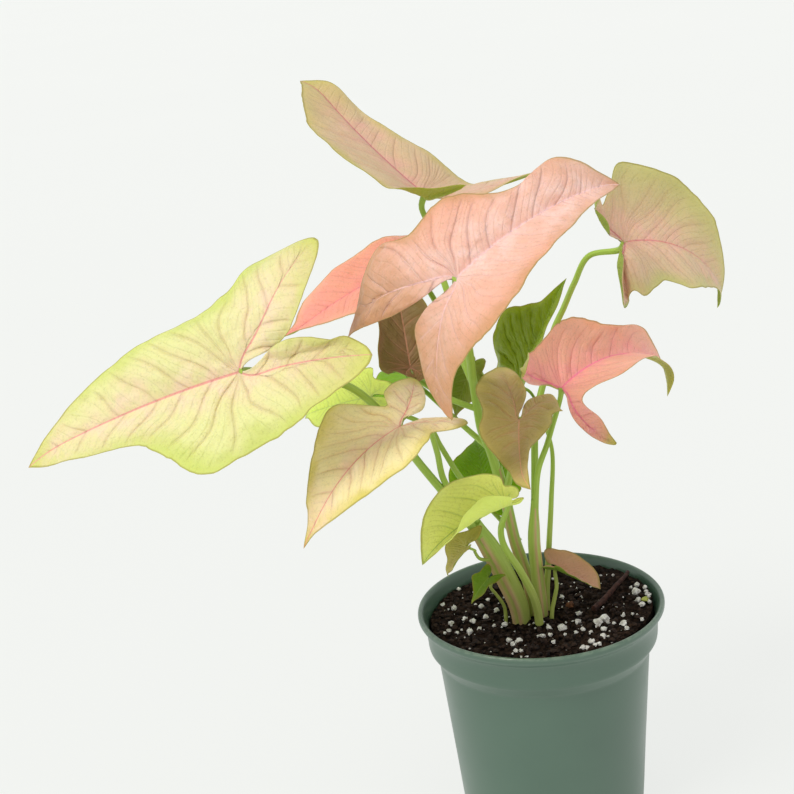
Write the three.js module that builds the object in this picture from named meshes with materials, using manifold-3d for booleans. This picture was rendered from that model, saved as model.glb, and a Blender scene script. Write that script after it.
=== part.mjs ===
// Arrowhead plant (a pink Syngonium) growing in its green nursery pot.
// Millimetres, +Z up, origin at the centre of the pot's base. The front is -Y.
import * as THREE from 'three';
import { mergeVertices } from 'three/addons/utils/BufferGeometryUtils.js';
import Module from 'manifold-3d';

const wasm = await Module();
wasm.setup();
const { Manifold, Mesh: SolidMesh } = wasm;

// ---------------------------------------------------------------- driving sizes
const GAP = 0.3;                     // clearance between pieces that touch on the real plant

const POT = {
  height: 108,
  baseRadius: 42,
  neckRadius: 49.3,                  // under the collar
  neckHeight: 85,
  collarRadius: 53,
  collarBottom: 91,
  flareFrom: 99,                     // where the collar starts to flare out to the lip
  lipRadius: 57,
  lipWidth: 2.4,
  wall: 1.3,
  floor: 2.2,
  segments: 48,
  drainHoles: 6,
  drainRadius: 4,
  drainCircle: 30,                   // radius of the ring of holes in the base
};

const SOIL = {
  level: 101.5,                      // at the left, under the rim
  heapRight: 4.2,                    // how much higher it lies at the right
  heapFront: 1.2,
  lumpHeight: 0.8,
  rings: 10,
};

const BLADE = {
  thickness: 0.8,
  rings: 4,
  marginSteps: 16,                   // outline points on each side of a large leaf
  smallMarginSteps: 11,
  foldSoftness: 3,                   // how wide the crease along the midrib is
  evenReach: 4,                      // round the joint, where both faces are offset the same way
};

const STEM_SIDES = 7;

// ---------------------------------------------------------------- colours
const COLOURS = {
  pot: 0x5c7d69,
  soil: 0x2a211b,
  twig: 0x5b4030,
  stem: 0x7ba548,
  limePink: 0xdcd690,
  pink: 0xe9a68f,
  coral: 0xef8f7c,
  tan: 0xc9ab86,
  olive: 0xab9360,
  lime: 0x9aba40,
  green: 0x5f8a1e,
};

// ---------------------------------------------------------------- small helpers
const radians = THREE.MathUtils.degToRad;
const clamp = THREE.MathUtils.clamp;

function paint(name, roughness) {
  return new THREE.MeshStandardMaterial({ name, color: COLOURS[name], roughness, metalness: 0 });
}

const MATERIALS = {
  pot: paint('pot', 0.45),
  soil: paint('soil', 0.95),
  twig: paint('twig', 0.85),
  stem: paint('stem', 0.45),
  limePink: paint('limePink', 0.5),
  pink: paint('pink', 0.5),
  coral: paint('coral', 0.5),
  tan: paint('tan', 0.5),
  olive: paint('olive', 0.5),
  lime: paint('lime', 0.45),
  green: paint('green', 0.4),
};

function geometryFrom(positions, triangles) {
  const geometry = new THREE.BufferGeometry();
  geometry.setAttribute('position', new THREE.Float32BufferAttribute(positions.flat(), 3));
  geometry.setIndex(triangles.flat());
  geometry.computeVertexNormals();
  return geometry;
}

function solidFrom(positions, triangles) {
  return new Manifold(new SolidMesh({
    numProp: 3,
    vertProperties: new Float32Array(positions.flat()),
    triVerts: new Uint32Array(triangles.flat()),
  }));
}

// A closed three.js geometry as a solid: its seams are merged and its empty triangles dropped.
function solidOfGeometry(geometry) {
  const bare = geometry.clone();
  bare.deleteAttribute('normal');
  bare.deleteAttribute('uv');
  const merged = mergeVertices(bare, 1e-4);
  const position = merged.getAttribute('position');
  const positions = [];
  for (let i = 0; i < position.count; i += 1) {
    positions.push([position.getX(i), position.getY(i), position.getZ(i)]);
  }
  const triangles = [];
  for (let i = 0; i < merged.index.count; i += 3) {
    const [a, b, c] = merged.index.array.slice(i, i + 3);
    if (a !== b && b !== c && c !== a) {
      triangles.push([a, b, c]);
    }
  }
  return solidFrom(positions, triangles);
}

function geometryOfSolid(solid) {
  const mesh = solid.getMesh();
  const geometry = new THREE.BufferGeometry();
  const stride = mesh.numProp;
  const positions = [];
  for (let i = 0; i < mesh.vertProperties.length; i += stride) {
    positions.push(...mesh.vertProperties.slice(i, i + 3));
  }
  geometry.setAttribute('position', new THREE.Float32BufferAttribute(positions, 3));
  geometry.setIndex(Array.from(mesh.triVerts));
  geometry.computeVertexNormals();
  return geometry;
}

// ---------------------------------------------------------------- leaf blades
// A blade is drawn flat, with its petiole joint at 0,0, its tip along +X and its left side at
// +Y. It is then bent along its hinges, creased along the midrib, curved and set in place.
const STATIONS = [0.88, 0.70, 0.45, 0.20, -0.03];      // shares of the length, tip to waist
const HALF_WIDTHS = [0.11, 0.40, 0.79, 1.00, 0.98];    // shares of the half width there
const LEAST_TURN = radians(0.4);     // about the joint, from one outline point to the next
const SINUS_TURN = radians(2);       // from the midline behind the joint to the nearest lobe

// One side of the flat outline, from the tip round the basal lobe to the sinus.
function outlinePattern(leaf, side) {
  const angle = radians(leaf.splay[side]);
  const lobe = leaf.lobes[side];
  const margin = leaf.margin[side];
  const along = [-Math.cos(angle), Math.sin(angle)];
  const across = [Math.sin(angle), Math.cos(angle)];
  const onLobe = (share, out) => [
    along[0] * share * lobe + across[0] * out,
    along[1] * share * lobe + across[1] * out,
  ];
  const breadth = leaf.lobeBreadth[side];
  const points = [[leaf.length, 0]];
  STATIONS.forEach((station, i) => {
    points.push([station * leaf.length, HALF_WIDTHS[i] * leaf.halfWidth + margin[i]]);
  });
  points.push(onLobe(0.62, breadth * 0.80 + margin[5]));
  points.push(onLobe(0.90, breadth * 0.32));
  points.push(onLobe(1.00, 0));
  points.push(onLobe(0.86, -breadth * 0.28));
  points.push(onLobe(0.45, -breadth * 0.42));
  points.push(onLobe(0.10, -breadth * 0.11));
  return points;
}

// Keeps the outline turning one way about the joint, so that the fan of triangles never folds,
// and short of the midline behind it, so that the lobes never cross in the sinus.
function turnOnward(points) {
  let reached = 0;
  return points.map(([x, y], i) => {
    const radius = Math.hypot(x, y);
    const bare = Math.atan2(y, x);
    const turned = bare < -Math.PI / 2 ? bare + 2 * Math.PI : bare;
    if (i > 0) {
      const limit = Math.PI - SINUS_TURN - LEAST_TURN * (points.length - i);
      reached = Math.min(Math.max(turned, reached + LEAST_TURN), limit);
    }
    return [radius * Math.cos(reached), radius * Math.sin(reached)];
  });
}

function flatOutline(leaf, side, steps) {
  const points = outlinePattern(leaf, side).map(([x, y]) => new THREE.Vector3(x, y, 0));
  const curve = new THREE.CatmullRomCurve3(points, false, 'centripetal');
  curve.arcLengthDivisions = 400;
  return turnOnward(curve.getSpacedPoints(steps).map((p) => [p.x, p.y]));
}

// Runs along a strip that turns by slope(d) at distance d, and gives where it has got to.
function bentStrip(slope, distance) {
  const steps = 40;
  let run = 0;
  let rise = 0;
  for (let i = 0; i < steps; i += 1) {
    const angle = slope(distance * (i + 0.5) / steps);
    run += Math.cos(angle) * distance / steps;
    rise += Math.sin(angle) * distance / steps;
  }
  return { run, rise };
}

const smooth = (t) => t * t * (3 - 2 * t);

// The basal lobe drops beyond a hinge line that runs out from the petiole joint.
function dropLobe(leaf, side, x, y) {
  const hinge = radians(80);
  const ahead = [Math.cos(hinge), Math.sin(hinge)];
  const back = [-Math.sin(hinge), Math.cos(hinge)];
  const distance = x * back[0] + y * back[1];
  const offset = x * ahead[0] + y * ahead[1];
  if (distance <= 0) {
    return [x, y, 0];
  }
  const lobe = leaf.lobes[side];
  const drop = radians(leaf.droop[side]);
  const curl = radians(leaf.lobeCurl[side]);
  const slope = (d) => {
    const far = clamp(d / lobe, 0, 1.3);
    return drop * smooth(clamp(d / (0.30 * lobe), 0, 1)) + curl * far * far;
  };
  const { run, rise } = bentStrip(slope, distance);
  return [offset * ahead[0] + run * back[0], offset * ahead[1] + run * back[1], -rise];
}

// The crease along the midrib, and the cupping from the midrib to the margin.
function creaseAndCup(leaf, side, y, z) {
  const across = Math.max(y, 0);
  const fold = radians(leaf.fold[side]);
  const cup = radians(leaf.cup[side]);
  const slope = (d) => fold * Math.tanh(d / BLADE.foldSoftness) + cup * d / leaf.halfWidth;
  const { run, rise } = bentStrip(slope, across);
  const angle = slope(across);
  const outward = y > 0 ? run : y;
  return [outward - z * Math.sin(angle), rise + z * Math.cos(angle)];
}

// Frames along the midrib, which bends, sweeps, twists and curls towards the tip.
function midribFrames(leaf) {
  const steps = 40;
  const curlFrom = 0.7;
  const weights = [];
  for (let i = 0; i <= steps; i += 1) {
    const t = i / steps;
    weights.push(t > curlFrom ? Math.sin((t - curlFrom) / (1 - curlFrom) * Math.PI) ** 2 : 0);
  }
  const total = weights.reduce((a, b) => a + b, 0);
  const frame = new THREE.Matrix4();
  const turn = new THREE.Matrix4();
  const place = new THREE.Vector3();
  const frames = [{ place: place.clone(), axes: frame.clone() }];
  for (let i = 1; i <= steps; i += 1) {
    const forward = new THREE.Vector3().setFromMatrixColumn(frame, 0);
    place.addScaledVector(forward, leaf.length / steps);
    const bend = radians(leaf.bend) / steps + radians(leaf.curl) * weights[i] / total;
    frame.multiply(turn.makeRotationY(bend));
    frame.multiply(turn.makeRotationZ(radians(leaf.sweep) / steps));
    frame.multiply(turn.makeRotationX(radians(leaf.twist) / steps));
    frames.push({ place: place.clone(), axes: frame.clone() });
  }
  return frames;
}

// The leaf's own axes in the plant: X along the midrib, Y to its left, Z out of its upper face.
function leafAxes(leaf) {
  const heading = radians(leaf.heading);
  const pitch = radians(leaf.pitch);
  const roll = radians(leaf.roll);
  const forward = new THREE.Vector3(
    Math.cos(heading) * Math.cos(pitch),
    Math.sin(heading) * Math.cos(pitch),
    Math.sin(pitch),
  );
  const level = new THREE.Vector3(-Math.sin(heading), Math.cos(heading), 0);
  const normal = new THREE.Vector3().crossVectors(forward, level);
  const left = level.clone().multiplyScalar(Math.cos(roll)).addScaledVector(normal, Math.sin(roll));
  const up = new THREE.Vector3().crossVectors(forward, left);
  return new THREE.Matrix4().makeBasis(forward, left, up).setPosition(...leaf.joint);
}

function shapeLeaf(leaf) {
  const frames = midribFrames(leaf);
  const axes = leafAxes(leaf);
  const steps = frames.length - 1;
  return (x, y, side) => {
    const sign = side === 0 ? 1 : -1;
    const [dx, dy, dz] = dropLobe(leaf, side, x, y * sign);
    const [cy, cz] = creaseAndCup(leaf, side, dy, dz);
    const along = clamp(dx, 0, leaf.length);
    const at = along / leaf.length * steps;
    const i = Math.min(Math.floor(at), steps - 1);
    const local = new THREE.Vector3(dx - along, sign * cy, cz);
    const near = local.clone().applyMatrix4(frames[i].axes).add(frames[i].place);
    const far = local.clone().applyMatrix4(frames[i + 1].axes).add(frames[i + 1].place);
    return near.lerp(far, at - i).applyMatrix4(axes);
  };
}

// A fan of rings about the petiole joint, left side first, open at the sinus.
function bladeSurface(leaf) {
  const steps = leaf.length > 40 ? BLADE.marginSteps : BLADE.smallMarginSteps;
  const left = flatOutline(leaf, 0, steps).reverse();
  const right = flatOutline(leaf, 1, steps).slice(1).map(([x, y]) => [x, -y]);
  const shape = shapeLeaf(leaf);
  const outline = [...left.map((p) => [...p, 0]), ...right.map((p) => [...p, 1])];
  const count = outline.length;
  const points = [shape(0, 0, 0)];
  for (let ring = 1; ring <= BLADE.rings; ring += 1) {
    const share = ring / BLADE.rings;
    outline.forEach(([x, y, side]) => points.push(shape(x * share, y * share, side)));
  }
  const triangles = [];
  for (let i = 0; i < count - 1; i += 1) {
    triangles.push([0, i + 2, i + 1]);
    for (let ring = 0; ring < BLADE.rings - 1; ring += 1) {
      const a = 1 + ring * count + i;
      triangles.push([a, a + 1, a + 1 + count], [a, a + 1 + count, a + count]);
    }
  }
  const rim = [0];
  for (let i = 0; i < count; i += 1) {
    rim.push(1 + (BLADE.rings - 1) * count + i);
  }
  const start = [];
  const end = [];
  for (let ring = BLADE.rings - 2; ring >= 0; ring -= 1) {
    end.push(1 + ring * count + count - 1);
    start.push(1 + ring * count);
  }
  const border = [0, ...start.reverse(), ...rim.slice(1), ...end];
  return { points, triangles, border };
}

// The blade's two faces, alike in their triangles, closed along the border.
function bladeGeometry(leaf) {
  const { points, triangles, border } = bladeSurface(leaf);
  const middle = geometryFrom(points.map((p) => p.toArray()), triangles);
  const normals = middle.getAttribute('normal');
  const atJoint = new THREE.Vector3().fromBufferAttribute(normals, 0);
  const outward = points.map((p, i) => {
    const far = smooth(clamp(p.distanceTo(points[0]) / BLADE.evenReach, 0, 1));
    return new THREE.Vector3().fromBufferAttribute(normals, i).lerp(atJoint, 1 - far).normalize();
  });
  const half = BLADE.thickness / 2;
  const offset = (sign) => points.map((p, i) => (
    p.clone().addScaledVector(outward[i], sign * half).toArray()
  ));
  const count = points.length;
  const faces = triangles.map((t) => [...t]);
  triangles.forEach(([a, b, c]) => faces.push([a + count, c + count, b + count]));
  border.forEach((a, i) => {
    const b = border[(i + 1) % border.length];
    faces.push([a, b, b + count], [a, b + count, a + count]);
  });
  return geometryFrom([...offset(1), ...offset(-1)], faces);
}

const NO_MARGIN = [0, 0, 0, 0, 0, 0];

// Every leaf, with the place of its petiole joint, its pose and its own proportions.
// Pairs hold the left side first. `margin` widens the outline at its six side points.
const LEAVES = [
  {
    name: 'leaf_left_large', material: 'limePink', joint: [-117, -75, 255],
    heading: 165, pitch: -15, roll: -72, length: 104, halfWidth: 31, lobeBreadth: [30, 30],
    lobes: [61, 60], splay: [12, 45], fold: [20, 19], cup: [-2, -56],
    bend: -2, curl: 16, sweep: 13, twist: 21, droop: [-19, -14], lobeCurl: [27, 17],
    margin: [[3.5, 0, -7, 7, 2.5, -5], [2, 1.5, -1, -3, 5, 0]],
  },
  {
    name: 'leaf_top', material: 'tan', joint: [-35.5, 19.5, 299.5],
    heading: 134, pitch: 31, roll: 10, length: 98, halfWidth: 27, lobeBreadth: [16, 16],
    lobes: [24, 52], splay: [10, 56], fold: [16, 9], cup: [-19, 1],
    bend: -4, curl: 23, sweep: -12, twist: -14, droop: [-50, -40], lobeCurl: [0, 7],
    margin: [[4, 7, 5.5, 1, -2, -4], [5, 1, -6, -3, 4, 2]],
  },
  {
    name: 'leaf_centre_front', material: 'pink', joint: [-29.5, -81, 285.5],
    heading: 10, pitch: 37, roll: 53, length: 87, halfWidth: 27, lobeBreadth: [25, 25],
    lobes: [66, 57], splay: [37, 24], fold: [16, 35], cup: [-36, -1],
    bend: 51, curl: 11, sweep: -12, twist: 3, droop: [24, 21], lobeCurl: [17, 58],
    margin: [[3, 7, -7, 1.5, 0, 5.5], [1, -1.5, -3, -1.5, 7, -7]],
  },
  {
    name: 'leaf_right_high', material: 'tan', joint: [45.5, -16, 277.5],
    heading: 20, pitch: -1, roll: 29, length: 72, halfWidth: 28, lobeBreadth: [12, 12],
    lobes: [33, 36], splay: [48, 51], fold: [35, 3], cup: [38, -39],
    bend: 69, curl: 23, sweep: -25, twist: 5, droop: [-30, 90], lobeCurl: [-30, 55],
    margin: [[1, 3.5, 1, 2.5, 7, -5], [1.6, 0, 0, -7, 0, 0]],
  },
  {
    name: 'leaf_right_coral', material: 'coral', joint: [17.5, 8.5, 208],
    heading: 41, pitch: 21, roll: 18, length: 97, halfWidth: 22, lobeBreadth: [12, 6],
    lobes: [54, 48], splay: [55, 55], fold: [35, 8], cup: [39, 28],
    bend: 70, curl: 46, sweep: -18, twist: -8, droop: [-30, 36], lobeCurl: [-10, 15],
    margin: [[1, 7, -2.5, 2.5, 2, -1.5], [1, -4.5, 0, 1, -6.5, 1]],
  },
  {
    name: 'leaf_centre_low', material: 'olive', joint: [-6.5, -41.5, 212.5],
    heading: -99, pitch: -17, roll: 15, length: 53, halfWidth: 15, lobeBreadth: [16, 16],
    lobes: [32, 41], splay: [37, 13], fold: [13, 19], cup: [-49, 15],
    bend: -10, curl: 28, sweep: 14, twist: 30, droop: [16, -5], lobeCurl: [3, 17],
    margin: [[1, -2, -5.5, -1.5, 0, -2.5], [2, -1, -2, 2, 1, 1]],
  },
  {
    name: 'leaf_left_low', material: 'tan', joint: [-56.5, -71.5, 225],
    heading: 199, pitch: -19, roll: 4, length: 64, halfWidth: 25, lobeBreadth: [14, 14],
    lobes: [30, 39], splay: [44, 53], fold: [9, 9], cup: [-22, 19],
    bend: 53, curl: -10, sweep: 2, twist: -31, droop: [13, 21], lobeCurl: [23, 14],
    margin: [[0, 0, 0, 3, 1, -1.5], [0, 0, 1, 6, -7, 0]],
  },
  {
    name: 'leaf_back_dark', material: 'green', joint: [2, 52, 196.5],
    heading: -34, pitch: 66, roll: 32, length: 60.5, halfWidth: 25.5, lobeBreadth: [15, 15],
    lobes: [38, 36], splay: [40, 40], fold: [22, 15], cup: [19, 3],
    bend: 7, curl: 4, sweep: 1, twist: 21, droop: [15, 15], lobeCurl: [10, 10],
    margin: [[0, -2, 5, 1.5, -2.5, 0], NO_MARGIN],
  },
  {
    name: 'leaf_front_lime', material: 'lime', joint: [-15.5, -52, 180.5],
    heading: 188, pitch: -13, roll: -46, length: 45, halfWidth: 15.5, lobeBreadth: [7, 7],
    lobes: [9, 8], splay: [40, 30], fold: [56, 6], cup: [62, 4],
    bend: 8, curl: 18, sweep: 31, twist: 0, droop: [0, 0], lobeCurl: [0, 0],
    margin: [[0.5, 2, 3, 3, -2, 0], [3, 6, 5, 1, -4, -1]],
  },
  {
    name: 'leaf_young_green', material: 'green', joint: [-20, 12, 158],
    heading: 95, pitch: 43, roll: -5, length: 39, halfWidth: 16.5, lobeBreadth: [9, 9],
    lobes: [14, 14], splay: [40, 40], fold: [13, 12], cup: [1, 0],
    bend: 30, curl: 14, sweep: -4, twist: -1, droop: [15, 15], lobeCurl: [10, 10],
    margin: [[0, 0, 1, 0, 0, 0], NO_MARGIN],
  },
  {
    name: 'leaf_behind_lime', material: 'lime', joint: [-67.5, -25, 223.5],
    heading: 173, pitch: -7, roll: -34, length: 36, halfWidth: 17, lobeBreadth: [8, 8],
    lobes: [12, 12], splay: [40, 40], fold: [11, 7], cup: [-1, -7],
    bend: 31, curl: 29, sweep: -8, twist: -15, droop: [15, 15], lobeCurl: [10, 10],
    margin: [[0, 1.5, 0, 0, 0, 0], [0, 0, 2, -2.5, -1, 0]],
  },
  {
    name: 'leaf_behind_coral', material: 'coral', joint: [-44.5, 42, 264.5],
    heading: 197, pitch: -13, roll: -14, length: 70, halfWidth: 25, lobeBreadth: [17, 17],
    lobes: [43, 44], splay: [40, 25], fold: [9, 9], cup: [-3, -7],
    bend: 22, curl: -19, sweep: 2, twist: -8, droop: [15, 10], lobeCurl: [10, 9],
    margin: [[-1.2, 0, 0, 0, 0, 0], [0, 4, -1.5, -3, 1, 0]],
  },
  {
    name: 'leaf_shaded', material: 'olive', joint: [-49.3, -0.8, 227],
    heading: 100, pitch: 70, roll: 0, length: 52, halfWidth: 17, lobeBreadth: [14, 14],
    lobes: [10, 15], splay: [45, 45], fold: [20, 20], cup: [30, 30],
    bend: 10, curl: 10, sweep: 0, twist: 0, droop: [-55, -55], lobeCurl: [-20, -20],
    margin: [NO_MARGIN, NO_MARGIN],
  },
  {
    name: 'leaf_inner_green', material: 'green', joint: [-50, 24, 216],
    heading: 246, pitch: -22, roll: 12, length: 36.5, halfWidth: 16, lobeBreadth: [9, 9],
    lobes: [22.5, 22.5], splay: [40, 40], fold: [12, 11], cup: [0, -1],
    bend: 13, curl: 3, sweep: 7, twist: 7, droop: [15, 14], lobeCurl: [10, 10],
    margin: [NO_MARGIN, [0, 0, 2.5, 0, 0, 0]],
  },
  {
    name: 'leaf_inner_olive', material: 'olive', joint: [-23, 7, 221],
    heading: 200, pitch: -62, roll: -20, length: 24, halfWidth: 10, lobeBreadth: [8, 8],
    lobes: [9, 9], splay: [40, 40], fold: [10, 12], cup: [-3, 0],
    bend: 15, curl: 15, sweep: -5, twist: -4, droop: [15, 15], lobeCurl: [10, 10],
    margin: [[0, 0, 1, 1.5, 0, 0], NO_MARGIN],
  },
  {
    name: 'leaf_base_olive', material: 'olive', joint: [-33, -27, 151],
    heading: 162, pitch: -42, roll: -19, length: 20, halfWidth: 8.5, lobeBreadth: [4.5, 4.5],
    lobes: [12, 12], splay: [60, 35], fold: [11, 14], cup: [17, 22],
    bend: 29, curl: 24, sweep: 0, twist: -18, droop: [-5, 25], lobeCurl: [6, 15],
    margin: [NO_MARGIN, [1, 0, 2, 1, 0, 0]],
  },
  {
    name: 'leaf_base_green', material: 'green', joint: [-24.5, -22.5, 132.5],
    heading: 210, pitch: -33, roll: -11, length: 13.5, halfWidth: 5.5, lobeBreadth: [3.5, 3.5],
    lobes: [8.5, 8.5], splay: [40, 41], fold: [13, 14], cup: [1, 6],
    bend: 25, curl: 10, sweep: -1, twist: -1, droop: [15, 13], lobeCurl: [10, 10],
    margin: [[0, 0, 0, -2, 0, 0], [0, -1, 0, 1.5, 0, 0]],
  },
  {
    name: 'leaf_base_pink', material: 'tan', joint: [9, -4, 126.3],
    heading: -23, pitch: -20, roll: 33, length: 22, halfWidth: 9, lobeBreadth: [6, 6],
    lobes: [11, 9], splay: [35, 45], fold: [10, 70], cup: [6, 12],
    bend: 20, curl: 12, sweep: 0, twist: 0, droop: [10, 10], lobeCurl: [5, 5],
    margin: [[2.5, 3, 1, 0, 0, 0], NO_MARGIN],
  },
];

function leafNamed(name) {
  return LEAVES.find((leaf) => leaf.name === name);
}

// ---------------------------------------------------------------- stems and petioles
// A tapered stem along a curve through its points. `flatness` squashes its section.
function stemSolid({ points, radii, flatness = 1, steps = 3 }) {
  const curve = new THREE.CatmullRomCurve3(points.map((p) => new THREE.Vector3(...p)));
  const rings = (points.length - 1) * steps;
  const frames = curve.computeFrenetFrames(rings, false);
  const positions = [];
  for (let i = 0; i <= rings; i += 1) {
    const t = i / rings;
    const centre = curve.getPointAt(t);
    const radius = THREE.MathUtils.lerp(radii[0], radii[1], t);
    for (let j = 0; j < STEM_SIDES; j += 1) {
      const angle = 2 * Math.PI * j / STEM_SIDES;
      const point = centre.clone();
      point.addScaledVector(frames.normals[i], radius * Math.cos(angle) * flatness);
      point.addScaledVector(frames.binormals[i], radius * Math.sin(angle));
      positions.push(point.toArray());
    }
  }
  const triangles = [];
  for (let i = 0; i < rings; i += 1) {
    for (let j = 0; j < STEM_SIDES; j += 1) {
      const a = i * STEM_SIDES + j;
      const b = i * STEM_SIDES + (j + 1) % STEM_SIDES;
      triangles.push([a, b, b + STEM_SIDES], [a, b + STEM_SIDES, a + STEM_SIDES]);
    }
  }
  const last = rings * STEM_SIDES;
  for (let j = 1; j < STEM_SIDES - 1; j += 1) {
    triangles.push([0, j + 1, j], [last, last + j, last + j + 1]);
  }
  return solidFrom(positions, triangles);
}

// A petiole ends just under its leaf's joint, square to the blade. `approach` leans its last
// stretch ahead and to the left in the leaf's own axes.
function petioleSolid({ points, radii, leaf: leafName, approach = [-0.3, 0] }) {
  const leaf = leafNamed(leafName);
  const axes = leafAxes(leaf);
  const under = BLADE.thickness / 2 + GAP + 0.1 + 0.25 * radii[1];
  const reach = Math.min(5, leaf.length / 6);
  const end = new THREE.Vector3(0, 0, -under).applyMatrix4(axes);
  const [ahead, left] = approach;
  const before = new THREE.Vector3(ahead * reach, left * reach, -under - reach).applyMatrix4(axes);
  return stemSolid({ points: [...points, before.toArray(), end.toArray()], radii });
}

// The sheathed stem of each shoot, and the petioles that leave it.
const SHEATHS = {
  left: {
    radii: [4.8, 4.4], flatness: 0.66,
    points: [[-9, -4.5, 92], [-10.5, -5.5, 110], [-15.5, -8, 126], [-21.5, -11, 142], [-28, -15, 156]],
  },
  centre: {
    radii: [2.9, 2.3],
    points: [[-4, 2.6, 92], [-4, 2, 113], [-7, 1.5, 129], [-9.5, 0, 140], [-12, -3, 159], [-15, -7, 179]],
  },
  right: {
    radii: [3.0, 2.4],
    points: [[0, -2.4, 92], [-0.3, -3.4, 110], [-1, -4, 128], [-1.2, -5, 141], [0.5, -5, 161]],
  },
};

const shootLeft = Manifold.union([
  stemSolid(SHEATHS.left),
  petioleSolid({
    leaf: 'leaf_left_large', radii: [2.0, 1.3],
    points: [[-26, -15, 150], [-41, -24, 177], [-51, -33, 196], [-63, -46, 222], [-76, -53, 238],
      [-94, -60, 246]],
  }),
  petioleSolid({
    leaf: 'leaf_left_low', radii: [1.6, 1.0],
    points: [[-26, -15, 150], [-35, -20, 170], [-40, -26, 183], [-42, -36, 200], [-45, -48, 214]],
  }),
  petioleSolid({
    leaf: 'leaf_behind_lime', radii: [1.5, 0.9],
    points: [[-26, -14, 151], [-29, -15, 172], [-34, -18, 183], [-40, -21, 197], [-44, -22, 206]],
  }),
  petioleSolid({
    leaf: 'leaf_base_olive', radii: [1.0, 0.7],
    points: [[-20, -10.5, 136], [-26.5, -15, 139], [-29, -20, 145]],
  }),
]);

const shootCentre = Manifold.union([
  stemSolid(SHEATHS.centre),
  petioleSolid({
    leaf: 'leaf_centre_front', radii: [2.2, 1.3],
    points: [[-14, -5, 169], [-18, -10, 189], [-21, -12, 199], [-22, -13, 209], [-23, -15, 221],
      [-24, -25, 238], [-26, -44, 257]],
  }),
  petioleSolid({
    leaf: 'leaf_top', radii: [1.7, 1.2],
    points: [[-23, -15, 221], [-25, -8, 235], [-28, 4, 250], [-33, 12, 271], [-35, 17, 286]],
  }),
  petioleSolid({
    leaf: 'leaf_centre_low', radii: [1.6, 1.1], points: [[-12, -4, 165], [-10, -18, 181], [-7, -30, 197]],
  }),
  petioleSolid({
    leaf: 'leaf_behind_coral', radii: [1.6, 1.1], points: [[-23, -15, 221], [-30, 5, 239], [-36, 28, 251]],
  }),
  petioleSolid({
    leaf: 'leaf_shaded', radii: [1.4, 1.0], points: [[-22, -13, 209], [-34, -12, 215]],
  }),
  petioleSolid({
    leaf: 'leaf_inner_green', radii: [1.4, 1.0], points: [[-18, -10, 189], [-30, 8, 197], [-42, 18, 208]],
  }),
  petioleSolid({
    leaf: 'leaf_inner_olive', radii: [1.3, 0.9], points: [[-21, -13, 207], [-17, -3, 213]],
  }),
  petioleSolid({
    leaf: 'leaf_young_green', radii: [1.3, 0.9], points: [[-7, 3, 138], [-13, 8, 145]],
  }),
]);

const shootRight = Manifold.union([
  stemSolid(SHEATHS.right),
  petioleSolid({
    leaf: 'leaf_right_high', radii: [1.7, 1.2],
    points: [[0, -5, 151], [2, -1, 174], [4, 8, 187], [8, 18, 200], [13, 24, 212], [17, 25, 229],
      [22, 19, 242], [26, 7, 256], [32, -3, 270]],
    approach: [0, 0.4],
  }),
  petioleSolid({
    leaf: 'leaf_right_coral', radii: [1.5, 1.1],
    points: [[0, -5, 151], [3, -6, 175], [8, -2, 185], [11, 2, 191]],
  }),
]);

// Leaves that rise from the soil on petioles of their own.
const LONE_PETIOLES = {
  petiole_front: {
    leaf: 'leaf_front_lime', radii: [2.1, 1.1], approach: [-0.15, 0],
    points: [[-1.9, -10, 92], [-2.5, -12, 110], [-5, -15.5, 121], [-9.5, -20, 133.5], [-16.3, -28, 150],
      [-17.5, -36.5, 162]],
  },
  petiole_back: {
    leaf: 'leaf_back_dark', radii: [1.7, 0.6],
    points: [[3, 3.2, 92], [3.8, 5, 111], [5.4, 6.5, 121.5], [6.8, 9, 131.5], [10, 16, 151], [13, 26, 172],
      [11, 34, 183]],
  },
  petiole_base_green: {
    leaf: 'leaf_base_green', radii: [0.9, 0.6],
    points: [[-16.2, -2.5, 92], [-16.6, -3.5, 103], [-16.9, -4.2, 109], [-20.8, -10, 119], [-23, -16, 125]],
  },
  petiole_base_pink: {
    leaf: 'leaf_base_pink', radii: [1.1, 0.8],
    points: [[4, -6.4, 92], [4.6, -5.6, 104.5], [6.7, -4.8, 112.5], [7.8, -4.6, 117.5]],
  },
};

const STEMS = [
  ['shoot_left', shootLeft],
  ['shoot_centre', shootCentre],
  ['shoot_right', shootRight],
  ...Object.entries(LONE_PETIOLES).map(([name, petiole]) => [name, petioleSolid(petiole)]),
];

// ---------------------------------------------------------------- pot
function potGeometry() {
  const inner = POT.collarRadius - POT.wall;
  const lipInner = POT.lipRadius - POT.lipWidth;
  const outline = [
    [0, 0], [POT.baseRadius - 0.8, 0], [POT.baseRadius, 0.8],
    [POT.neckRadius, POT.neckHeight], [POT.collarRadius, POT.collarBottom],
    [POT.collarRadius + 0.6, POT.flareFrom], [POT.collarRadius + 1.6, POT.flareFrom + 3.5],
    [POT.lipRadius - 0.6, POT.flareFrom + 5.6], [POT.lipRadius, POT.flareFrom + 6.6],
    [POT.lipRadius, POT.height - 1.0], [POT.lipRadius - 0.8, POT.height],
    [lipInner + 0.6, POT.height], [lipInner - 0.2, POT.height - 1.0],
    [inner + 1.3, POT.flareFrom + 4.4], [inner + 0.3, POT.flareFrom], [inner, POT.collarBottom + 0.6],
    [POT.neckRadius - POT.wall, POT.neckHeight + 0.4],
    [POT.baseRadius - POT.wall, POT.floor], [0, POT.floor],
  ];
  const profile = outline.map(([radius, height]) => new THREE.Vector2(radius, height));
  const lathe = new THREE.LatheGeometry(profile, POT.segments);
  lathe.rotateX(Math.PI / 2);
  const body = solidOfGeometry(lathe);
  const drains = Manifold.union(Array.from({ length: POT.drainHoles }, (_, i) => drainHole(i)));
  return geometryOfSolid(body.subtract(drains));
}

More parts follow.
